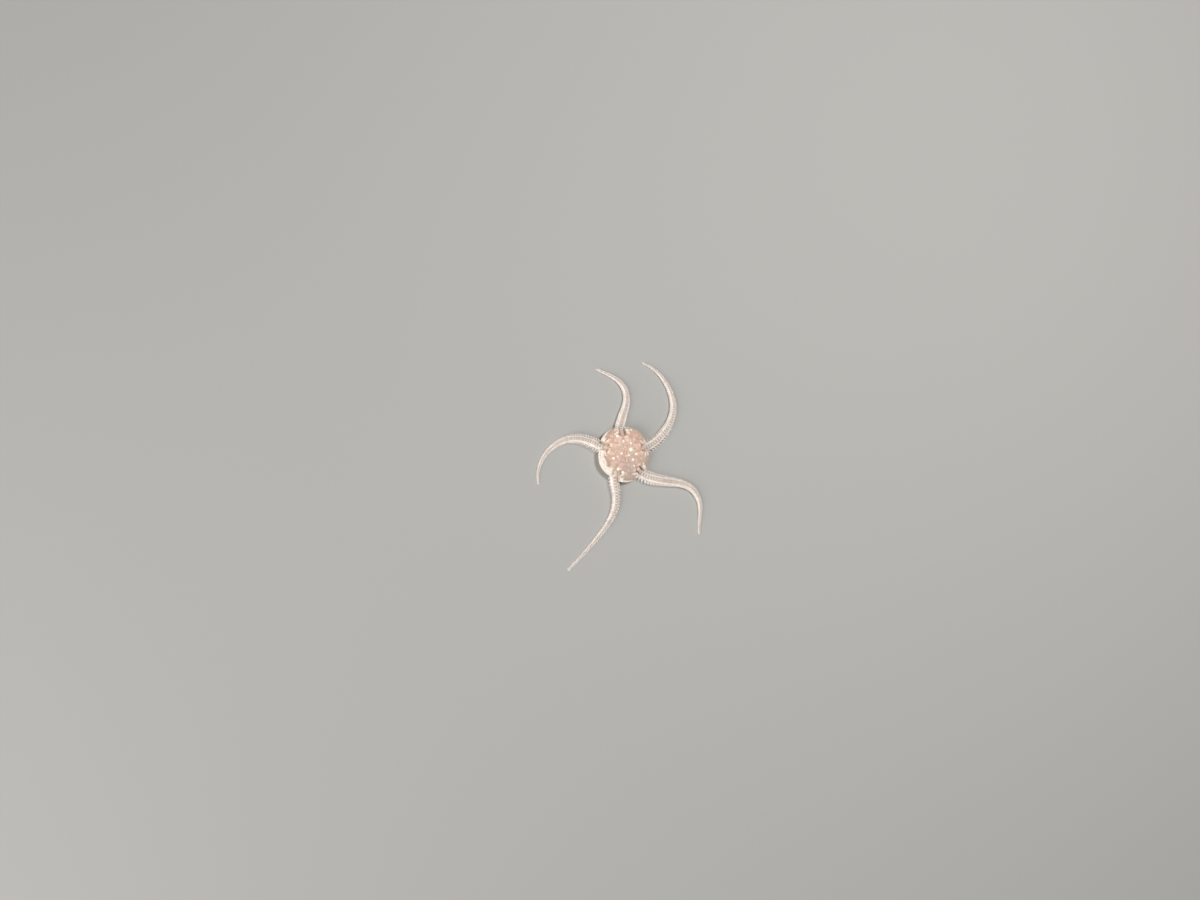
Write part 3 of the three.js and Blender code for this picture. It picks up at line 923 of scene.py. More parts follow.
def disc_material(name, groove):
    """Plates of the disc: each has its own tone, painted shade in the grooves between them, and some are
    pale.
    """
    paint = Paint(name)
    colour = paint.toned(back_colour(paint), 0.92, 0.16)
    grain = paint.noise(1500.0, 3.0, 0.6)
    colour = paint.mix(paint.band(grain, 0.45, 0.75) * 0.22, colour, PALE)
    colour = paint.mix(paint.value("pale") * paint.band(grain, -0.3, 0.55), colour, PALE)
    # Painted shade at the plates' edges, deeper on the back than on the flank's cream.
    depth = paint.band(over_cream(paint), -0.0004, 0.0006) * (0.65 * groove) + 0.35 * groove
    colour = paint.edged(colour, 0.25, 1.0, depth)
    coarse = paint.bump(grain, 0.35, 0.00012)
    fine = paint.bump(paint.noise(FINE_GRAIN, 2.0), 0.3, 0.00004, coarse)
    return paint.finish(colour, 0.34, 0.56, fine)


def skin_material():
    """The skin between the plates, with the same markings and darker, as painted shade between the plates."""
    paint = Paint("star_skin")
    shin = paint.mix(paint.band(paint.noise(500.0, 3.0), 0.4, 0.65), TAN, CREAM)
    # Painted shade: the skin between the plates is dimmed.
    back = paint.dimmed(back_colour(paint), 0.78)
    colour = paint.mix(paint.value("on_arm"), back, paint.dimmed(shin, 0.66))
    return paint.finish(colour, 0.4, 0.6, paint.bump(paint.noise(1800.0, 3.0, 0.6), 0.5, 0.00015))


def arm_material(name, middle, flank, bands):
    """Plates of the arms: a darker middle, paler sides, and faint bands along the arm."""
    paint = Paint(name)
    around = abs(paint.value("around"))
    wave = paint.noise(0.55, 2.0, 0.5, paint.combined(paint.value("share") * 46.0, paint.value("arm"), 0.0))
    colour = paint.mix(paint.band(around, 0.08, 0.2), middle, flank)
    colour = paint.mix(paint.band(paint.value("along"), 0.6, 0.95) * 0.7, colour, CREAM)
    colour = paint.mix(paint.band(wave, 0.5, 0.68) * bands, colour, UMBER)
    colour = paint.mix(paint.band(paint.noise(600.0, 3.0, 0.6), 0.5, 0.75) * 0.2, colour, PALE)
    colour = paint.mix(near_disc(paint) * paint.band(around, 0.6, 0.3), colour, ROOT_TAN)
    # Painted shade towards the edge of each plate.
    colour = paint.edged(paint.toned(colour, 0.88, 0.2), 0.2, 0.9, 0.75)
    coarse = paint.bump(paint.noise(1600.0, 3.0, 0.6), 0.3, 0.0001)
    fine = paint.bump(paint.noise(FINE_GRAIN, 2.0), 0.25, 0.00004, coarse)
    return paint.finish(colour, 0.33, 0.55, fine)


def spine_material(name, root=CREAM, tip=PALE):
    """Spines: a warmer root and a pale tip."""
    paint = Paint(name)
    colour = paint.toned(paint.mix(paint.band(paint.value("tip"), 0.0, 0.6), root, tip), 0.86, 0.2)
    return paint.finish(colour, 0.32, 0.5, paint.bump(paint.noise(2600.0, 3.0, 0.6), 0.3, 0.00006), 0.1)


# The skin

def arm_tube(line, distances, aside, low, high, lift=0.0, corners=28):
    """A closed stretch of an arm, wider, lower or higher by margins, and a cutter's back lifted further."""
    across, up = section(np.arange(corners) * 2.0 / corners)
    level = up / (2 * HEIGHT_PER_WIDTH)
    raised = np.where(level > 0.8, lift, 0.0)
    rings = []
    for distance, margin in zip(distances, np.broadcast_to(aside, len(distances))):
        middle, _, left, half = line.frame_at(distance)
        height = 2 * half * HEIGHT_PER_WIDTH * float(line.rise(distance))
        ring = middle + left * (across * (half + margin))[:, None]
        ring[:, 2] = low + level * (height + high - low) + raised
        rings.append(ring)
    return stacked_rings(rings)


def mouth_star(reach, waist, depth):
    """The star-shaped pit of the mouth, with a slit towards each arm."""
    tips = sorted(line.azimuth for line in ARM_LINES)
    loop = []
    for tip, after in zip(tips, tips[1:] + [tips[0] + 360]):
        loop += [polar(reach, tip), polar(waist, (tip + after) / 2)]
    return stacked_rings([np.array(loop) + UP * depth, np.array(loop) - UP])


def skin_piece(settings):
    """One skin over the disc and all the arms, lying under the plates."""
    disc, cutters, whole = Shape(), Shape(), Shape()
    disc.add(*disc_form(settings.skin_depth))
    body = add_object("star_skin", disc.mesh("star_skin"))
    margin = NOTCH_MARGIN + settings.skin_depth
    notch = np.linspace(NOTCH_START, NOTCH_LENGTH, 18)
    webs = np.linspace(-INNER_REACH, WEB_LENGTH, 30)
    web_margins = NOTCH_MARGIN + np.interp(webs, [WEB_LENGTH / 3, WEB_LENGTH], WEB_MARGINS)
    for line in ARM_LINES:
        cutters.add(*arm_tube(line, notch, margin, -0.3, margin, NOTCH_LIFT))
        core = np.linspace(-INNER_REACH, line.total - 0.4, 220)
        whole.add(*arm_tube(line, core, -ARM_SKIN_INSET, ARM_SKIN_INSET, -ARM_SKIN_INSET))
        whole.add(*arm_tube(line, webs, web_margins, WEB_FLOOR, -WEB_SUNK))
    cutters.add(*mouth_star(*MOUTH_PIT))
    cutter = add_object("notch_cutter", cutters.mesh("notch_cutter"))
    cut = body.modifiers.new("notches", "BOOLEAN")
    cut.operation, cut.solver, cut.object = "DIFFERENCE", "MANIFOLD", cutter
    applied(body)
    remove_object(cutter)
    arms = add_object("arm_cores", whole.mesh("arm_cores"))
    bpy.ops.object.select_all(action="DESELECT")
    body.select_set(True)
    arms.select_set(True)
    bpy.context.view_layer.objects.active = body
    bpy.ops.object.join()
    remesh = body.modifiers.new("one skin", "REMESH")
    remesh.mode, remesh.voxel_size = "VOXEL", settings.skin_grain * MM
    smooth = body.modifiers.new("soft folds", "SMOOTH")
    smooth.factor, smooth.iterations = 0.5, 3
    mesh = applied(body)
    place = np.empty(len(mesh.vertices) * 3)
    mesh.vertices.foreach_get("co", place)
    place = place.reshape(-1, 3) / MM - DISC_PLACE
    reach = np.hypot(place[:, 0], place[:, 1])
    write_value(mesh, "on_arm", np.clip((reach - ARM_SKIN_START) / ARM_SKIN_FADE, 0, 1))
    finish_piece(body, skin_material())
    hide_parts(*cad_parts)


# The disc's plates

def disc_piece(name, shape, groove=0.5):
    # The groove sets how deep the painted shade at the plates' edges is.
    finish_piece(add_object(name, shape.mesh(name)), disc_material(name, groove))


def clipped(loop, direction, limit):
    """The part of a convex outline that lies before a line."""
    over = loop @ direction - limit
    kept = []
    for i in range(len(loop)):
        j = (i + 1) % len(loop)
        if over[i] <= 0:
            kept.append(loop[i])
        if (over[i] < 0) != (over[j] < 0):
            kept.append(loop[i] + (loop[j] - loop[i]) * over[i] / (over[i] - over[j]))
    return np.array(kept)


def rounded(loop, corner=0.2, shortest=0.16):
    """An outline with its corners cut, after points that lie close together are merged."""
    kept = np.array([point for i, point in enumerate(loop) if np.linalg.norm(point - loop[i - 1]) > shortest])
    if len(kept) < 4:
        kept = loop
    after = np.roll(kept, -1, 0)
    cut = [kept * (1 - corner) + after * corner, kept * corner + after * (1 - corner)]
    return np.stack(cut, 1).reshape(-1, 2)


class Sites:
    """Places of the disc's scales, with how pale each is. A ghost only shapes its neighbours."""

    def __init__(self):
        self.place, self.normal, self.size, self.pale, self.ghost = [], [], [], [], []

    def add(self, place, normal, size, pale=0.0, ghost=False):
        columns = (self.place, self.normal, self.size, self.pale, self.ghost)
        for column, value in zip(columns, (place, normal, size, pale, ghost)):
            column.append(value)

    def free(self, place, size, spacing):
        if not self.place:
            return True
        gap = np.linalg.norm(np.array(self.place) - place, axis=1) - (np.array(self.size) + size) * spacing
        return gap.min() > 0


def near_arm_parts(points, sole=False):
    """For points of the disc: which lie in a notch or under an arm, and the mirrors of those beside one."""
    inside = np.zeros(len(points), bool)
    mirrors = [None] * len(points)
    begin = -INNER_REACH if sole else NOTCH_START
    for line in ARM_LINES:
        along, left = line.sides(points)
        edge = line.half_width(along) + NOTCH_MARGIN
        over = np.abs(left) - edge
        inside |= (along > begin) & (over < 0)
        for i in np.flatnonzero((along > begin - 0.2) & (over >= 0) & (over < 1.3)):
            _, _, aside, _ = line.frame_at(float(np.clip(along[i], line.distance[0], line.total)))
            mirrors[i] = points[i] - aside * np.sign(left[i]) * 2 * over[i]
        if not sole:
            _, ahead, _, _ = line.frame_at(begin)
            for i in np.flatnonzero((along <= begin) & (along > begin - 1.3) & (over < 0)):
                mirrors[i] = points[i] + ahead * 2 * (begin - along[i])
    return inside, mirrors


def in_oval(points, middle, ahead, aside, long, wide):
    """Which points lie over an oval with these half axes."""
    gap = points - middle
    return (gap @ ahead / long) ** 2 + (gap @ aside / wide) ** 2 < 1


def covered(points, settings):
    """Which points of the disc lie under a shield of the back or of the mouth, or under a ridge."""
    under = np.zeros(len(points), bool)
    for middle, normal, back, long, wide in notch_ridges(settings):
        oval = in_oval(points, middle, back, np.cross(normal, back), long, wide * 1.25)
        under |= oval & ((points - middle) @ normal > -1)
    for line, side in ARM_SIDES:
        oval = in_oval(points, *shield_place(line, side), SHIELD_LONG * 0.8, SHIELD_WIDE * 0.75)
        under |= oval & (points[:, 2] > RIM_LEVEL)
    for azimuth, _ in LOBES:
        ahead, aside = polar(1, azimuth), polar(1, azimuth + 90)
        long, wide = (half + 0.2 for half in MOUTH_SHIELD)
        oval = in_oval(points, ahead * MOUTH_SHIELD_RADIUS, ahead, aside, long, wide)
        under |= oval & (points[:, 2] < RIM_LEVEL)
    return under


def scale_sites(random, settings):
    """The fixed scales of the back first, then as many others as fit between them."""
    sites = Sites()
    fixed = [(radius, azimuth, size, 1.0) for radius, azimuth, size in PALE_SCALES]
    fixed.append((0.0, 0.0, MIDDLE_PLATE, 0.0))
    fixed += [(ARM_PLATE_RADIUS, line.azimuth, ARM_PLATE_SIZE, 0.0) for line in ARM_LINES]
    for azimuth, reach in LOBES:
        for radius, turn, size in LOBE_PLATES:
            fixed.append((radius * reach / LOBE_REACH, azimuth + turn, size, 0.0))
    for radius, azimuth, size, paleness in fixed:
        place, normal = drop_on(polar(radius, azimuth, DISC_HEIGHT), UP, DROP_HEIGHT)
        if sites.free(place, size, FIXED_SPACING) and not near_arm_parts(place[None, :])[0][0]:
            sites.add(place, normal, size, paleness)
    count = settings.scale_tries
    azimuth = random.uniform(0, 360, count)
    path = random.uniform(*SCALE_PATH_ENDS, count)
    keep = random.uniform(0, 1, count)
    points = disc_points(azimuth, path)
    normals = disc_normals(azimuth, path)
    step = disc_points(azimuth, path + 0.01) - disc_points(azimuth, path - 0.01)
    radius = np.hypot(points[:, 0], points[:, 1])
    area = radius * np.linalg.norm(step, axis=1)
    sole = path > SOLE_PATH
    inside_top, mirrors_top = near_arm_parts(points)
    inside_sole, mirrors_sole = near_arm_parts(points, True)
    inside = np.where(sole, inside_sole, inside_top) | covered(points, settings)
    inside |= sole & (radius < MOUTH_CLEAR)
    size = settings.scale_size * np.interp(path, *SCALE_PATHS)
    size *= random.uniform(*SCALE_VARIES, count)
    for i in np.flatnonzero((keep < area / area.max()) & ~inside):
        if not sites.free(points[i], size[i], SCALE_SPACING):
            continue
        sites.add(points[i], normals[i], size[i], SOME_PALE * (random.uniform() > NOT_PALE_SHARE))
        mirror = mirrors_sole[i] if sole[i] else mirrors_top[i]
        if mirror is not None:
            sites.add(mirror, normals[i], size[i], ghost=True)
    return sites


def scale_outline(place, size, i, ahead, aside, gap_width):
    """The outline of one scale, a circle cut off between it and each of its neighbours."""
    circle = np.linspace(0, 2 * math.pi, 14, endpoint=False)
    loop = np.stack([np.cos(circle), np.sin(circle)], -1) * size[i] * SCALE_REACH
    gap = place - place[i]
    away = np.linalg.norm(gap, axis=1)
    for j in np.flatnonzero((away < size[i] + NEIGHBOUR_REACH) & (away > 0.05)):
        flat = np.array([gap[j] @ ahead, gap[j] @ aside])
        if np.linalg.norm(flat) < 0.02 or len(loop) < 3:
            continue
        limit = (away[j] ** 2 + size[i] ** 2 - size[j] ** 2) / (2 * away[j])
        loop = clipped(loop, unit(flat), limit - gap_width / 2)
    return loop


def disc_scales_piece(settings):
    """The scales of the disc's back, flank and underside, fitted to each other like tiles."""
    random = np.random.default_rng(settings.scale_seed)
    sites = scale_sites(random, settings)
    places, sizes = np.array(sites.place), np.array(sites.size)
    shape = Shape()
    for i in np.flatnonzero(~np.array(sites.ghost)):
        place, normal = sites.place[i], sites.normal[i]
        ahead = laid(place * [1, 1, 0], normal)
        if np.linalg.norm(ahead) < 0.3:
            ahead = np.array([1.0, 0.0, 0.0])
        sole = normal[2] < -0.5
        ahead = unit(-ahead if sole else ahead)
        loop = scale_outline(places, sizes, i, ahead, np.cross(normal, ahead), settings.scale_gap)
        if len(loop) < 3:
            continue
        loop = rounded(loop)
        spread = float(np.max(np.linalg.norm(loop - loop.mean(0), axis=1)))
        if spread < LEAST_SCALE:
            continue
        height = settings.scale_raise * (1 + 0.4 * sites.pale[i]) * min(1.25, 0.7 + 0.35 * spread)
        height *= random.uniform(0.85, 1.15)
        if sole:
            height *= 0.7
        raised_plate(shape, place, normal, ahead, loop + [0.05, 0], SCALE_FORM, height, 0.05,
                     tone=random.uniform(), pale=sites.pale[i])
    disc_piece("disc_scales", shape)


def shield_place(line, side):
    """Where an arm shield of the back lies, and its directions ahead and aside."""
    middle, ahead, left, _ = line.frame_at(0.0)
    middle = middle + ahead * SHIELD_AHEAD + left * side * SHIELD_ASIDE
    turn = line.azimuth - side * SHIELD_TURN
    return middle, polar(1, turn), polar(1, turn + 90)


def pear(long, wide, swell, count=22):
    """An outline with round ends, wider ahead than behind."""
    turn = np.linspace(0, 2 * math.pi, count, endpoint=False)
    return np.stack([long * np.cos(turn), wide * np.sin(turn) * (1 + swell * np.cos(turn))], -1)


def finger(long, wide, taper=0.2, count=11):
    """An outline with straight sides and round ends, a little narrower behind."""
    turn = np.linspace(-90, 90, count) * math.pi / 180
    ahead = np.stack([long - wide + wide * np.cos(turn), wide * np.sin(turn)], -1)
    return np.vstack([ahead, -ahead * [1, 1 - taper]])


def arm_shields_piece(settings):
    """The pairs of pear-shaped shields on the back at the arms, each with a pale outer end."""
    random = np.random.default_rng(settings.scale_seed + 1)
    shape = Shape()
    loop = pear(SHIELD_LONG, SHIELD_WIDE, SHIELD_SWELL)
    for line, side in ARM_SIDES:
        middle, ahead, _ = shield_place(line, side)
        middle, normal = drop_on(middle + UP * DISC_HEIGHT, UP, DROP_HEIGHT)
        raised_plate(shape, middle, normal, ahead, loop, SHIELD_FORM, settings.shield_raise,
                     tone=random.uniform(0.3, 0.8))
    along = np.concatenate(shape.values["along"])
    shape.values["pale"] = [np.clip((along - 0.35) / 0.5, 0, 1) * 0.85]
    disc_piece("arm_shields", shape)


def notch_edge(line, side, paths, margin):
    """Points and outward directions of the disc along one edge of an arm's notch."""
    azimuth = line.azimuth + side * np.linspace(0, 75, 400)
    found = []
    for path in paths:
        points = disc_points(azimuth, path)
        along, left = line.sides(points)
        clear = (left * side > line.half_width(along) + NOTCH_MARGIN + margin) & (along > -1.5)
        first = int(np.argmax(clear))
        found.append((points[first], disc_normals(azimuth[first], np.array(path)), float(along[first])))
    return found


def notch_ridges(settings):
    """Each ridge beside a notch: its middle, outward and back direction, half its length and width."""
    random = np.random.default_rng(settings.scale_seed + 2)
    ridges = []
    for line, side in ARM_SIDES:
        places = notch_edge(line, side, np.linspace(*RIDGE_PATHS, settings.ridges), 0.1)
        for number, (place, normal, along) in enumerate(places):
            _, ahead, left, _ = line.frame_at(max(0.0, along))
            turn = math.radians(RIDGE_TURN + random.uniform(-4, 4))
            back = unit(laid(left * side * math.sin(turn) - ahead * math.cos(turn), normal))
            long = settings.ridge_length / 2 * random.uniform(0.85, 1.1) * (1.0 - 0.1 * number)
            wide = settings.ridge_width / 2 * random.uniform(0.9, 1.1)
            ridges.append((place + back * long * 0.96, normal, back, long, wide))
    return ridges


def notch_ridges_piece(settings):
    """The finger-like cream ridges that run back from both edges of each notch."""
    shape = Shape()
    for number, (middle, normal, back, long, wide) in enumerate(notch_ridges(settings)):
        raised_plate(shape, middle, normal, back, finger(long, wide), RIDGE_FORM, settings.ridge_raise,
                     tone=0.5 + 0.4 * (number % 3) / 3)
    along = np.concatenate(shape.values["along"])
    shape.values["pale"] = [np.clip(0.8 - 0.4 * along, 0.2, 1.0)]
    disc_piece("notch_ridges", shape)


def mouth_plates_piece(settings):
    """The shields, side plates and jaws round the mouth."""
    shape = Shape()
    random = np.random.default_rng(settings.scale_seed + 3)
    for lobe, _ in LOBES:
        for radius, aside, turn, form, height, tones in MOUTH_PLATES:
            middle, ahead = polar(radius, lobe + aside, UNDERSIDE_LEVEL), polar(1, lobe + aside + turn)
            raised_plate(shape, middle, -UP, ahead, pear(*form), MOUTH_FORM, height,
                         tone=random.uniform(*tones), pale=0.35)
    disc_piece("mouth_plates", shape, 0.4)


# Spines, combs and papillae

def spines_piece(name, points, values, material):
    """A piece of spines on points, whose own lengths and thicknesses the tree takes in full."""
    piece = points.object(name)
    SPINES.run(piece, {"Thickness": 1.0, "Length": 1.0, "Sides": 6, **values, "Material": material})
    finish_piece(piece, material)


def along_surface(points, normals, spacing):
    """Evenly spaced places and directions along a chain of points."""
    run = np.concatenate([[0], np.cumsum(np.linalg.norm(np.diff(points, axis=0), axis=1))])
    places = np.arange(0, run[-1], spacing)
    place, normal = (
        np.stack([np.interp(places, run, rows[:, k]) for k in range(3)], -1) for rows in (points, normals))
    return place, normal / np.linalg.norm(normal, axis=1, keepdims=True)


def comb_points(settings):
    """The comb of fine papillae that fringes both edges of each notch, down to the underside."""
    points = SpinePoints()
    for line, side in ARM_SIDES:
        edge, out_from_edge, _ = zip(*notch_edge(line, side, np.linspace(*COMB_PATHS, 50), -0.05))
        place, normal = along_surface(np.array(edge), np.array(out_from_edge), settings.comb_spacing)
        along, _ = line.sides(place)
        for at, out, distance in zip(place, normal, along):
            _, ahead, left, _ = line.frame_at(max(0.0, float(distance)))
            outwards, along_arm, over_notch, rise = COMB_WAY
            direction = out * outwards + ahead * along_arm - left * side * over_notch + UP * rise
            root = at - out * 0.2 + left * side * 0.15
            fade = 1.0 - 0.35 * np.clip((RIM_LEVEL - at[2]) / RIM_LEVEL, 0, 1)
            points.add(root, direction, -left * side, settings.comb_length * fade, COMB_GIRTH, on_map(at)[0])
    return points


def spine_points(settings):
    """Three spines on each side of every segment of the arms."""
    random = np.random.default_rng(settings.spine_seed)
    points = SpinePoints()
    share = np.arange(settings.segments + 1) / settings.segments
    for line in ARM_LINES:
        whole = line.total + INNER_REACH
        starts = whole * share * (1 + settings.segment_taper * (1 - share)) - INNER_REACH
        for distance in starts[:-1] + np.diff(starts) * SPINE_PLACE:
            if distance < FIRST_SPINES or distance > line.total - LAST_SPINES:
                continue
            middle, ahead, left, half = line.frame_at(distance)
            width = 2 * half / ARM_WIDTH
            folded = float(np.clip((distance - FOLD_START) / (FOLD_END - FOLD_START), 0, 1))
            folded *= folded * (3 - 2 * folded)
            length = settings.spine_length * (LEAST_LENGTH + (1 - LEAST_LENGTH) * width)
            length *= float(np.clip(ROOT_SPINE + (distance - FIRST_SPINES) / SPINE_GROWTH, ROOT_SPINE, 1))
            girth = settings.spine_thickness * (LEAST_GIRTH + (1 - LEAST_GIRTH) * width)
            for around, open_turn, open_rise, row_length in SPINE_ROWS:
                for side in (1, -1):
                    across, up = section(around, 0.0)
                    height = up * half * float(line.rise(distance))
                    place = middle + left * side * (across * half) + UP * height
                    place = place - left * side * SPINE_SUNK * half
                    turn = open_turn * line.spread
                    turn += (FOLD_TURN - turn) * folded
                    turn = math.radians(turn + random.uniform(-TURN_VARIES, TURN_VARIES))
                    rise = open_rise * (1 - 0.5 * folded) + random.uniform(-RISE_VARIES, RISE_VARIES)
                    rise = math.tan(math.radians(rise))
                    direction = ahead * math.cos(turn) + left * side * math.sin(turn) + UP * rise
                    place[2] = max(place[2], girth * 0.75, girth * 0.5 - rise * length)
                    strip = (line.number + 0.5 + 0.41 * side * around) * STRIPS_HEIGHT / len(ARMS)
                    flat = ((distance + INNER_REACH) / whole, strip)
                    points.add(place, direction, ahead, length * row_length, girth, flat)
    return points


def mouth_points():
    """The papillae along both edges of each jaw, and the teeth at its tip."""
    points = SpinePoints()
    for azimuth, _ in LOBES:
        ahead, aside = polar(1, azimuth), polar(1, azimuth + 90)
        for side in (1, -1):
            for k in range(5):
                place = ahead * (1.7 + 0.62 * k) + aside * side * (0.24 + 0.15 * k) + UP * JAW_LEVEL
                points.add(place, aside * side - ahead * 0.35 - UP * 0.1, -ahead, 0.62, 0.4, on_map(place)[0])
        place = ahead * 1.5 + UP * TOOTH_LEVEL
        points.add(place, -ahead, aside, 0.7, 0.5, on_map(place)[0])
    return points


# The arms' plates

def plate_tile(shape, span, rows, columns, bulge):
    """A closed plate of an arm in segment lengths and half widths, curved round the arm's section."""
    low, low_widens, high, high_widens = span
    count, whole = len(columns), len(columns) * len(rows)
    top = []
    for u, lift, edge, lead in rows:
        first, last = low + low_widens * u, high + high_widens * u
        for t in columns:
            around = first + (last - first) * t
            rim = t in (0, 1)
            across, up = section(around, PLATE_RIM if rim else lift)
            top.append((u + lead * bulge * (1 - (2 * t - 1) ** 2), across, up, around, 1.0 if rim else edge))
    border = [*range(count), *range(2 * count - 1, whole, count)]
    border += [*range(whole - 2, whole - count - 1, -1), *range(whole - 2 * count, 0, -count)]
    base = [(top[i][0], *section(top[i][3], PLATE_FOOT), top[i][3], 1.0) for i in border]
    starts = [r * count + c for r in range(len(rows) - 1) for c in range(count - 1)]
    faces = [(a, a + count, a + count + 1, a + 1) for a in starts]
    for k, i in enumerate(border):
        after = (k + 1) % len(border)
        faces.append((i, border[after], whole + after, whole + k))
    faces.append(tuple(whole + k for k in range(len(border))))
    corners = np.array(top + base, float)
    shape.add(corners[:, :3], faces, around=corners[:, 3], edge=corners[:, 4], along=corners[:, 0])


def arm_lines_mesh():
    """The five arms' middle lines, with half the arm's width and its rise at each point."""
    points, edges, half, rise = [], [], [], []
    for line in ARM_LINES:
        first = len(points)
        points.extend(((line.middle(line.distance) + DISC_PLACE) * MM).tolist())
        edges.extend((i, i + 1) for i in range(first, len(points) - 1))
        half.extend(line.half_width(line.distance) * MM)
        rise.extend(line.rise(line.distance))
    mesh = bpy.data.meshes.new("arm_lines")
    mesh.from_pydata(points, edges, [])
    write_value(mesh, "half_width", np.array(half))
    write_value(mesh, "rise", np.array(rise))
    return mesh


def arm_plates_piece(settings, name, kind, material, first, seed):
    """One kind of plate on every segment of all five arms."""
    spans, *form = kind
    template = Shape()
    for span in spans:
        plate_tile(template, span, *form)
    plates = add_object(name + "_one", template.mesh(name + "_one", 1.0, (0, 0, 0)))
    piece = add_object(name, arm_lines_mesh())
    PLATES.run(piece, {
        "Plates": plates, "Segments": settings.segments, "First Segment": first, "Arms": len(ARMS),
        "Taper": settings.segment_taper, "Lift Variation": 0.05, "Seed": seed, "Material": material,
    })
    remove_object(plates)
    finish_piece(piece, material)


def arm_tips_piece():
    """The small rounded plate that closes the tip of each arm."""
    shape = Shape()
    around = np.arange(16) * 2.0 / 16
    across, up = section(around)
    for line in ARM_LINES:
        middle, ahead, left, half = line.frame_at(line.total - TIP_SUNK)
        rings = []
        for share in np.sin(np.linspace(0, 80, 7) * math.pi / 180):
            size = half * math.sqrt(1 - share ** 2)
            ring = middle + ahead * (share * TIP_PLATE) + left * (across * size)[:, None]
            ring[:, 2] = half * HEIGHT_PER_WIDTH + (up - HEIGHT_PER_WIDTH) * size
            rings.append(ring)
        end = middle + ahead * TIP_PLATE + UP * (half * HEIGHT_PER_WIDTH)
        points, faces = stacked_rings(rings, bottom=end)
        reach = (points - middle) @ ahead / TIP_PLATE
        turn = np.append(np.tile(around - 1, len(rings)), 0)
        strip = (line.number + 0.5 + 0.4 * turn) * STRIPS_HEIGHT / len(ARMS)
        shape.add(points, faces, tip=reach, tone=0.5, OFBake=np.stack([0.985 + 0.014 * reach, strip], -1))
    piece = add_object("arm_tips", shape.mesh("arm_tips"))
    finish_piece(piece, spine_material("arm_tips", ARM_TIP, CREAM))


# The scene round the star

def make_camera():
    """The camera at the photo's angle, with the disc where the photo has it."""
    elevation, away = math.radians(CAMERA_ELEVATION), math.radians(CAMERA_AWAY)
    back = Vector((-math.cos(away) * math.cos(elevation), -math.sin(away) * math.cos(elevation),
                   math.sin(elevation)))
    up = (Vector((0, 1, 0)) - back * back.y).normalized()
    right = up.cross(back)
    disc = Vector((DISC_PLACE[0], DISC_PLACE[1], DISC_LEVEL)) * MM
    across, rise = DISC_FROM_CENTRE
    aim = disc - (right * across + up * rise) * PHOTO_SCALE * MM
    data = bpy.data.cameras.new("camera")
    data.sensor_width = SENSOR_WIDTH
    data.lens = SENSOR_WIDTH * CAMERA_DISTANCE / (PHOTO_SCALE * IMAGE_WIDTH)
    data.clip_end = 20
    camera = add_object("camera", data)
    camera.location = aim + back * CAMERA_DISTANCE * MM
    camera.rotation_mode = "QUATERNION"
    camera.rotation_quaternion = Matrix([[right[i], up[i], back[i]] for i in range(3)]).to_quaternion()
    bpy.context.scene.camera = camera


def make_light(name, power, azimuth, elevation, distance, size, colour):
    data = bpy.data.lights.new(name, "AREA")
    data.size, data.energy, data.color = size, power, colour
    light = add_object(name, data)
    rise = math.radians(elevation)
    place = Vector(polar(math.cos(rise), azimuth, math.sin(rise))) * distance
    light.location = place
    light.rotation_mode = "QUATERNION"
    light.rotation_quaternion = (-place).to_track_quat("-Z", "Y")


def make_floor(settings):
    """A wide pale floor at the level that the star rests on."""
    mesh = bpy.data.meshes.new("floor")
    corners = [(-1, -1), (1, -1), (1, 1), (-1, 1)]
    points = [(x * FLOOR_REACH, y * FLOOR_REACH, FLOOR_LEVEL) for x, y in corners]
    mesh.from_pydata(points, [], [(0, 1, 2, 3)])
    floor = add_object("floor", mesh)
    paint = Paint("floor")
    base = tuple(settings.floor_colour)
    cloud = paint.band(paint.noise(3.0, 3.0), 0.3, 0.7)
    paint.put(paint.shader.inputs["Base Color"], paint.mix(cloud * 0.05, base, tuple(c * 0.9 for c in base)))
    paint.shader.inputs["Roughness"].default_value = 0.75
    mesh.materials.append(paint.material)


def make_world(strength):
    world = bpy.data.worlds.new("studio")
    world.use_nodes = True
    sky = world.node_tree.nodes["Background"]
    sky.inputs["Color"].default_value = SKY_COLOUR
    sky.inputs["Strength"].default_value = strength
    bpy.context.scene.world = world
    bpy.context.scene.view_settings.view_transform = "Standard"


# The add-on

def millimetres(name, description, default, low, high):
    """A size in millimetres that a user would change."""
    return FloatProperty(name=name, description=description, default=default, min=low, max=high)


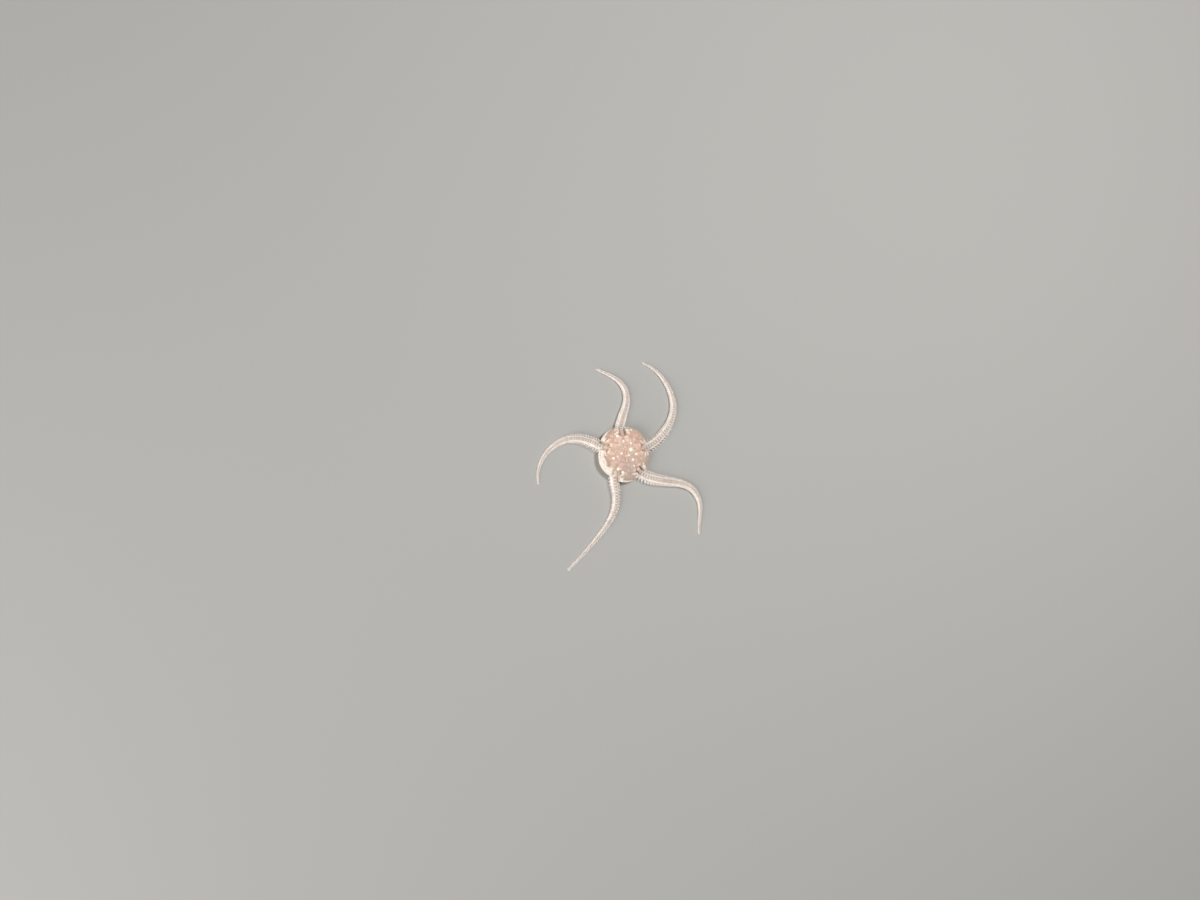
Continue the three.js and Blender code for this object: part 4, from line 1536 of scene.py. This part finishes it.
class StarSizes(bpy.types.PropertyGroup):
    """Sizes of the star's pieces, in millimetres unless said."""

    skin_depth: millimetres("Skin depth", "How far the skin lies under the plates' level", 0.16, 0.05, 0.5)
    skin_grain: millimetres("Skin grain", "Edge length of the skin's faces", 0.3, 0.2, 1.0)
    scale_size: millimetres("Scale size", "Half the width of a usual scale of the disc", 0.62, 0.4, 2.0)
    scale_gap: millimetres("Scale gap", "Width of the groove between two scales", 0.04, 0.0, 0.3)
    scale_raise: millimetres("Scale height", "How far a scale stands over the disc", 0.11, 0.05, 0.4)
    scale_tries: IntProperty(
        name="Scale tries", description="How many places are tried for scales", default=26000, min=1000)
    scale_seed: IntProperty(name="Scale seed", description="Start of the scales' random draws", default=11)
    shield_raise: millimetres("Shield height", "How far an arm shield stands over the disc", 0.27, 0.1, 1.0)
    ridges: IntProperty(name="Ridges", description="Ridges on each edge of a notch", default=3, min=1, max=6)
    ridge_length: millimetres("Ridge length", "Length of a ridge beside a notch", 2.8, 1.0, 5.0)
    ridge_width: millimetres("Ridge width", "Width of a ridge beside a notch", 1.0, 0.4, 2.0)
    ridge_raise: millimetres("Ridge height", "How far a ridge stands over the disc", 0.3, 0.1, 1.0)
    comb_spacing: millimetres("Comb spacing", "Distance between two papillae of a comb", 0.38, 0.2, 1.0)
    comb_length: millimetres("Comb length", "Length of a papilla of a comb", 1.05, 0.3, 2.0)
    segments: IntProperty(
        name="Segments", description="Segments of an arm, counted from the mouth", default=52,
        min=10, max=120)
    segment_taper: FloatProperty(
        name="Segment taper", description="How much longer the first segments are than the last",
        default=0.35, min=0.0, max=0.8, subtype="FACTOR")
    spine_length: millimetres("Spine length", "Length of a spine at the root of an arm", 2.4, 0.5, 4.0)
    spine_thickness: millimetres(
        "Spine thickness", "Thickness of a spine at the root of an arm", 0.68, 0.1, 1.0)
    spine_bend: FloatProperty(
        name="Spine bend", description="How far a spine's tip bends, in its half thicknesses", default=1.0)
    spine_seed: IntProperty(name="Spine seed", description="Start of the spines' random draws", default=5)


class StudioLooks(bpy.types.PropertyGroup):
    """The light and the floor round the star."""

    floor_colour: FloatVectorProperty(
        name="Floor colour", description="Colour of the floor", default=(0.42, 0.415, 0.40), size=3,
        subtype="COLOR", min=0.0, max=1.0)
    key_power: FloatProperty(
        name="Key power", description="Power of the main light", default=8.5, min=0.0, unit="POWER")
    fill_power: FloatProperty(
        name="Fill power", description="Power of the soft light from the other side", default=16.5, min=0.0,
        unit="POWER")
    sky: FloatProperty(
        name="Sky strength", description="Strength of the even light from all round", default=0.17)


class StarPart:
    """What all operators of the star share."""

    bl_options = {"REGISTER", "UNDO"}

    def execute(self, context):
        self.build(context.scene.brittle_star)
        return {"FINISHED"}


class STAR_OT_skin(StarPart, bpy.types.Operator):
    """Make the one skin of the disc and the arms"""

    bl_idname = "star.skin"
    bl_label = "Skin"

    def build(self, sizes):
        skin_piece(sizes)


class STAR_OT_disc_scales(StarPart, bpy.types.Operator):
    """Make the scales of the disc"""

    bl_idname = "star.disc_scales"
    bl_label = "Disc Scales"

    def build(self, sizes):
        disc_scales_piece(sizes)


class STAR_OT_arm_shields(StarPart, bpy.types.Operator):
    """Make the shields at the arms' roots"""

    bl_idname = "star.arm_shields"
    bl_label = "Arm Shields"

    def build(self, sizes):
        arm_shields_piece(sizes)


class STAR_OT_notches(StarPart, bpy.types.Operator):
    """Make the ridges and combs beside the notches"""

    bl_idname = "star.notches"
    bl_label = "Notch Ridges and Combs"

    def build(self, sizes):
        notch_ridges_piece(sizes)
        values = {"Tip Share": 0.5, "Bend": 0.5, "Length Variation": 0.12, "Seed": 3}
        spines_piece("notch_combs", comb_points(sizes), values, spine_material("notch_combs"))


class STAR_OT_arm_plates(StarPart, bpy.types.Operator):
    """Make the plates on the backs, sides and undersides of the arms"""

    bl_idname = "star.arm_plates"
    bl_label = "Arm Plates"

    def build(self, sizes):
        back = arm_material("arm_back_plates", KEEL, FLANK, 0.3)
        side = arm_material("arm_side_plates", FLANK, FAR_FLANK, 0.1)
        under = arm_material("arm_under_plates", SOLE, SOLE, 0.05)
        arm_plates_piece(sizes, "arm_back_plates", BACK_PLATES, back, 3, 21)
        arm_plates_piece(sizes, "arm_side_plates", SIDE_PLATES, side, 1, 22)
        arm_plates_piece(sizes, "arm_under_plates", UNDER_PLATES, under, 0, 23)
        arm_plates_piece(sizes, "tentacle_scales", TENTACLE_SCALES, under, 0, 24)
        arm_tips_piece()


class STAR_OT_spines(StarPart, bpy.types.Operator):
    """Make the spines along the arms"""

    bl_idname = "star.spines"
    bl_label = "Arm Spines"

    def build(self, sizes):
        values = {
            "Tip Share": 0.38, "Bend": sizes.spine_bend, "Length Variation": 0.1, "Seed": sizes.spine_seed,
        }
        material = spine_material("arm_spines", SPINE_ROOT, SPINE_TIP)
        spines_piece("arm_spines", spine_points(sizes), values, material)


class STAR_OT_mouth(StarPart, bpy.types.Operator):
    """Make the shields, jaws and papillae of the mouth"""

    bl_idname = "star.mouth"
    bl_label = "Mouth"

    def build(self, sizes):
        mouth_plates_piece(sizes)
        values = {"Tip Share": 0.5, "Bend": 0.4, "Length Variation": 0.1, "Sides": 7, "Seed": 4}
        spines_piece("mouth_papillae", mouth_points(), values, spine_material("mouth_papillae"))


class STAR_OT_stage(bpy.types.Operator):
    """Make the camera, the lights and the floor"""

    bl_idname = "star.stage"
    bl_label = "Camera, Lights and Floor"

    def execute(self, context):
        looks = context.scene.brittle_star_studio
        make_camera()
        make_light("key_light", looks.key_power, *KEY_LIGHT)
        make_light("fill_light", looks.fill_power, *FILL_LIGHT)
        make_floor(looks)
        make_world(looks.sky)
        return {"FINISHED"}


class STAR_PT_panel(bpy.types.Panel):
    """Lists the star's sizes and the operators that make its pieces"""

    bl_label = "Brittle Star"
    bl_idname = "STAR_PT_panel"
    bl_space_type = "VIEW_3D"
    bl_region_type = "UI"
    bl_category = "Brittle Star"

    def draw(self, context):
        for operator in OPERATORS:
            self.layout.operator(operator.bl_idname)
        for group in (context.scene.brittle_star, context.scene.brittle_star_studio):
            box = self.layout.box()
            for name in group.bl_rna.properties.keys():
                if name not in {"rna_type", "name"}:
                    box.prop(group, name)


OPERATORS = (
    STAR_OT_stage, STAR_OT_skin, STAR_OT_disc_scales, STAR_OT_arm_shields, STAR_OT_notches,
    STAR_OT_arm_plates, STAR_OT_spines, STAR_OT_mouth,
)
CLASSES = (StarSizes, StudioLooks, *OPERATORS, STAR_PT_panel)


def register():
    for item in CLASSES:
        bpy.utils.register_class(item)
    bpy.types.Scene.brittle_star = PointerProperty(type=StarSizes)
    bpy.types.Scene.brittle_star_studio = PointerProperty(type=StudioLooks)


def unregister():
    del bpy.types.Scene.brittle_star_studio
    del bpy.types.Scene.brittle_star
    for item in reversed(CLASSES):
        bpy.utils.unregister_class(item)


def main():
    """Makes the star piece by piece."""
    global PLATES, SPINES
    register()
    PLATES, SPINES = plates_tree(), spines_tree()
    bpy.ops.star.stage()
    bpy.ops.star.skin()
    bpy.ops.star.disc_scales()
    bpy.ops.star.arm_shields()
    bpy.ops.star.notches()
    bpy.ops.star.arm_plates()
    bpy.ops.star.spines()
    bpy.ops.star.mouth()


if __name__ == "__main__":
    main()
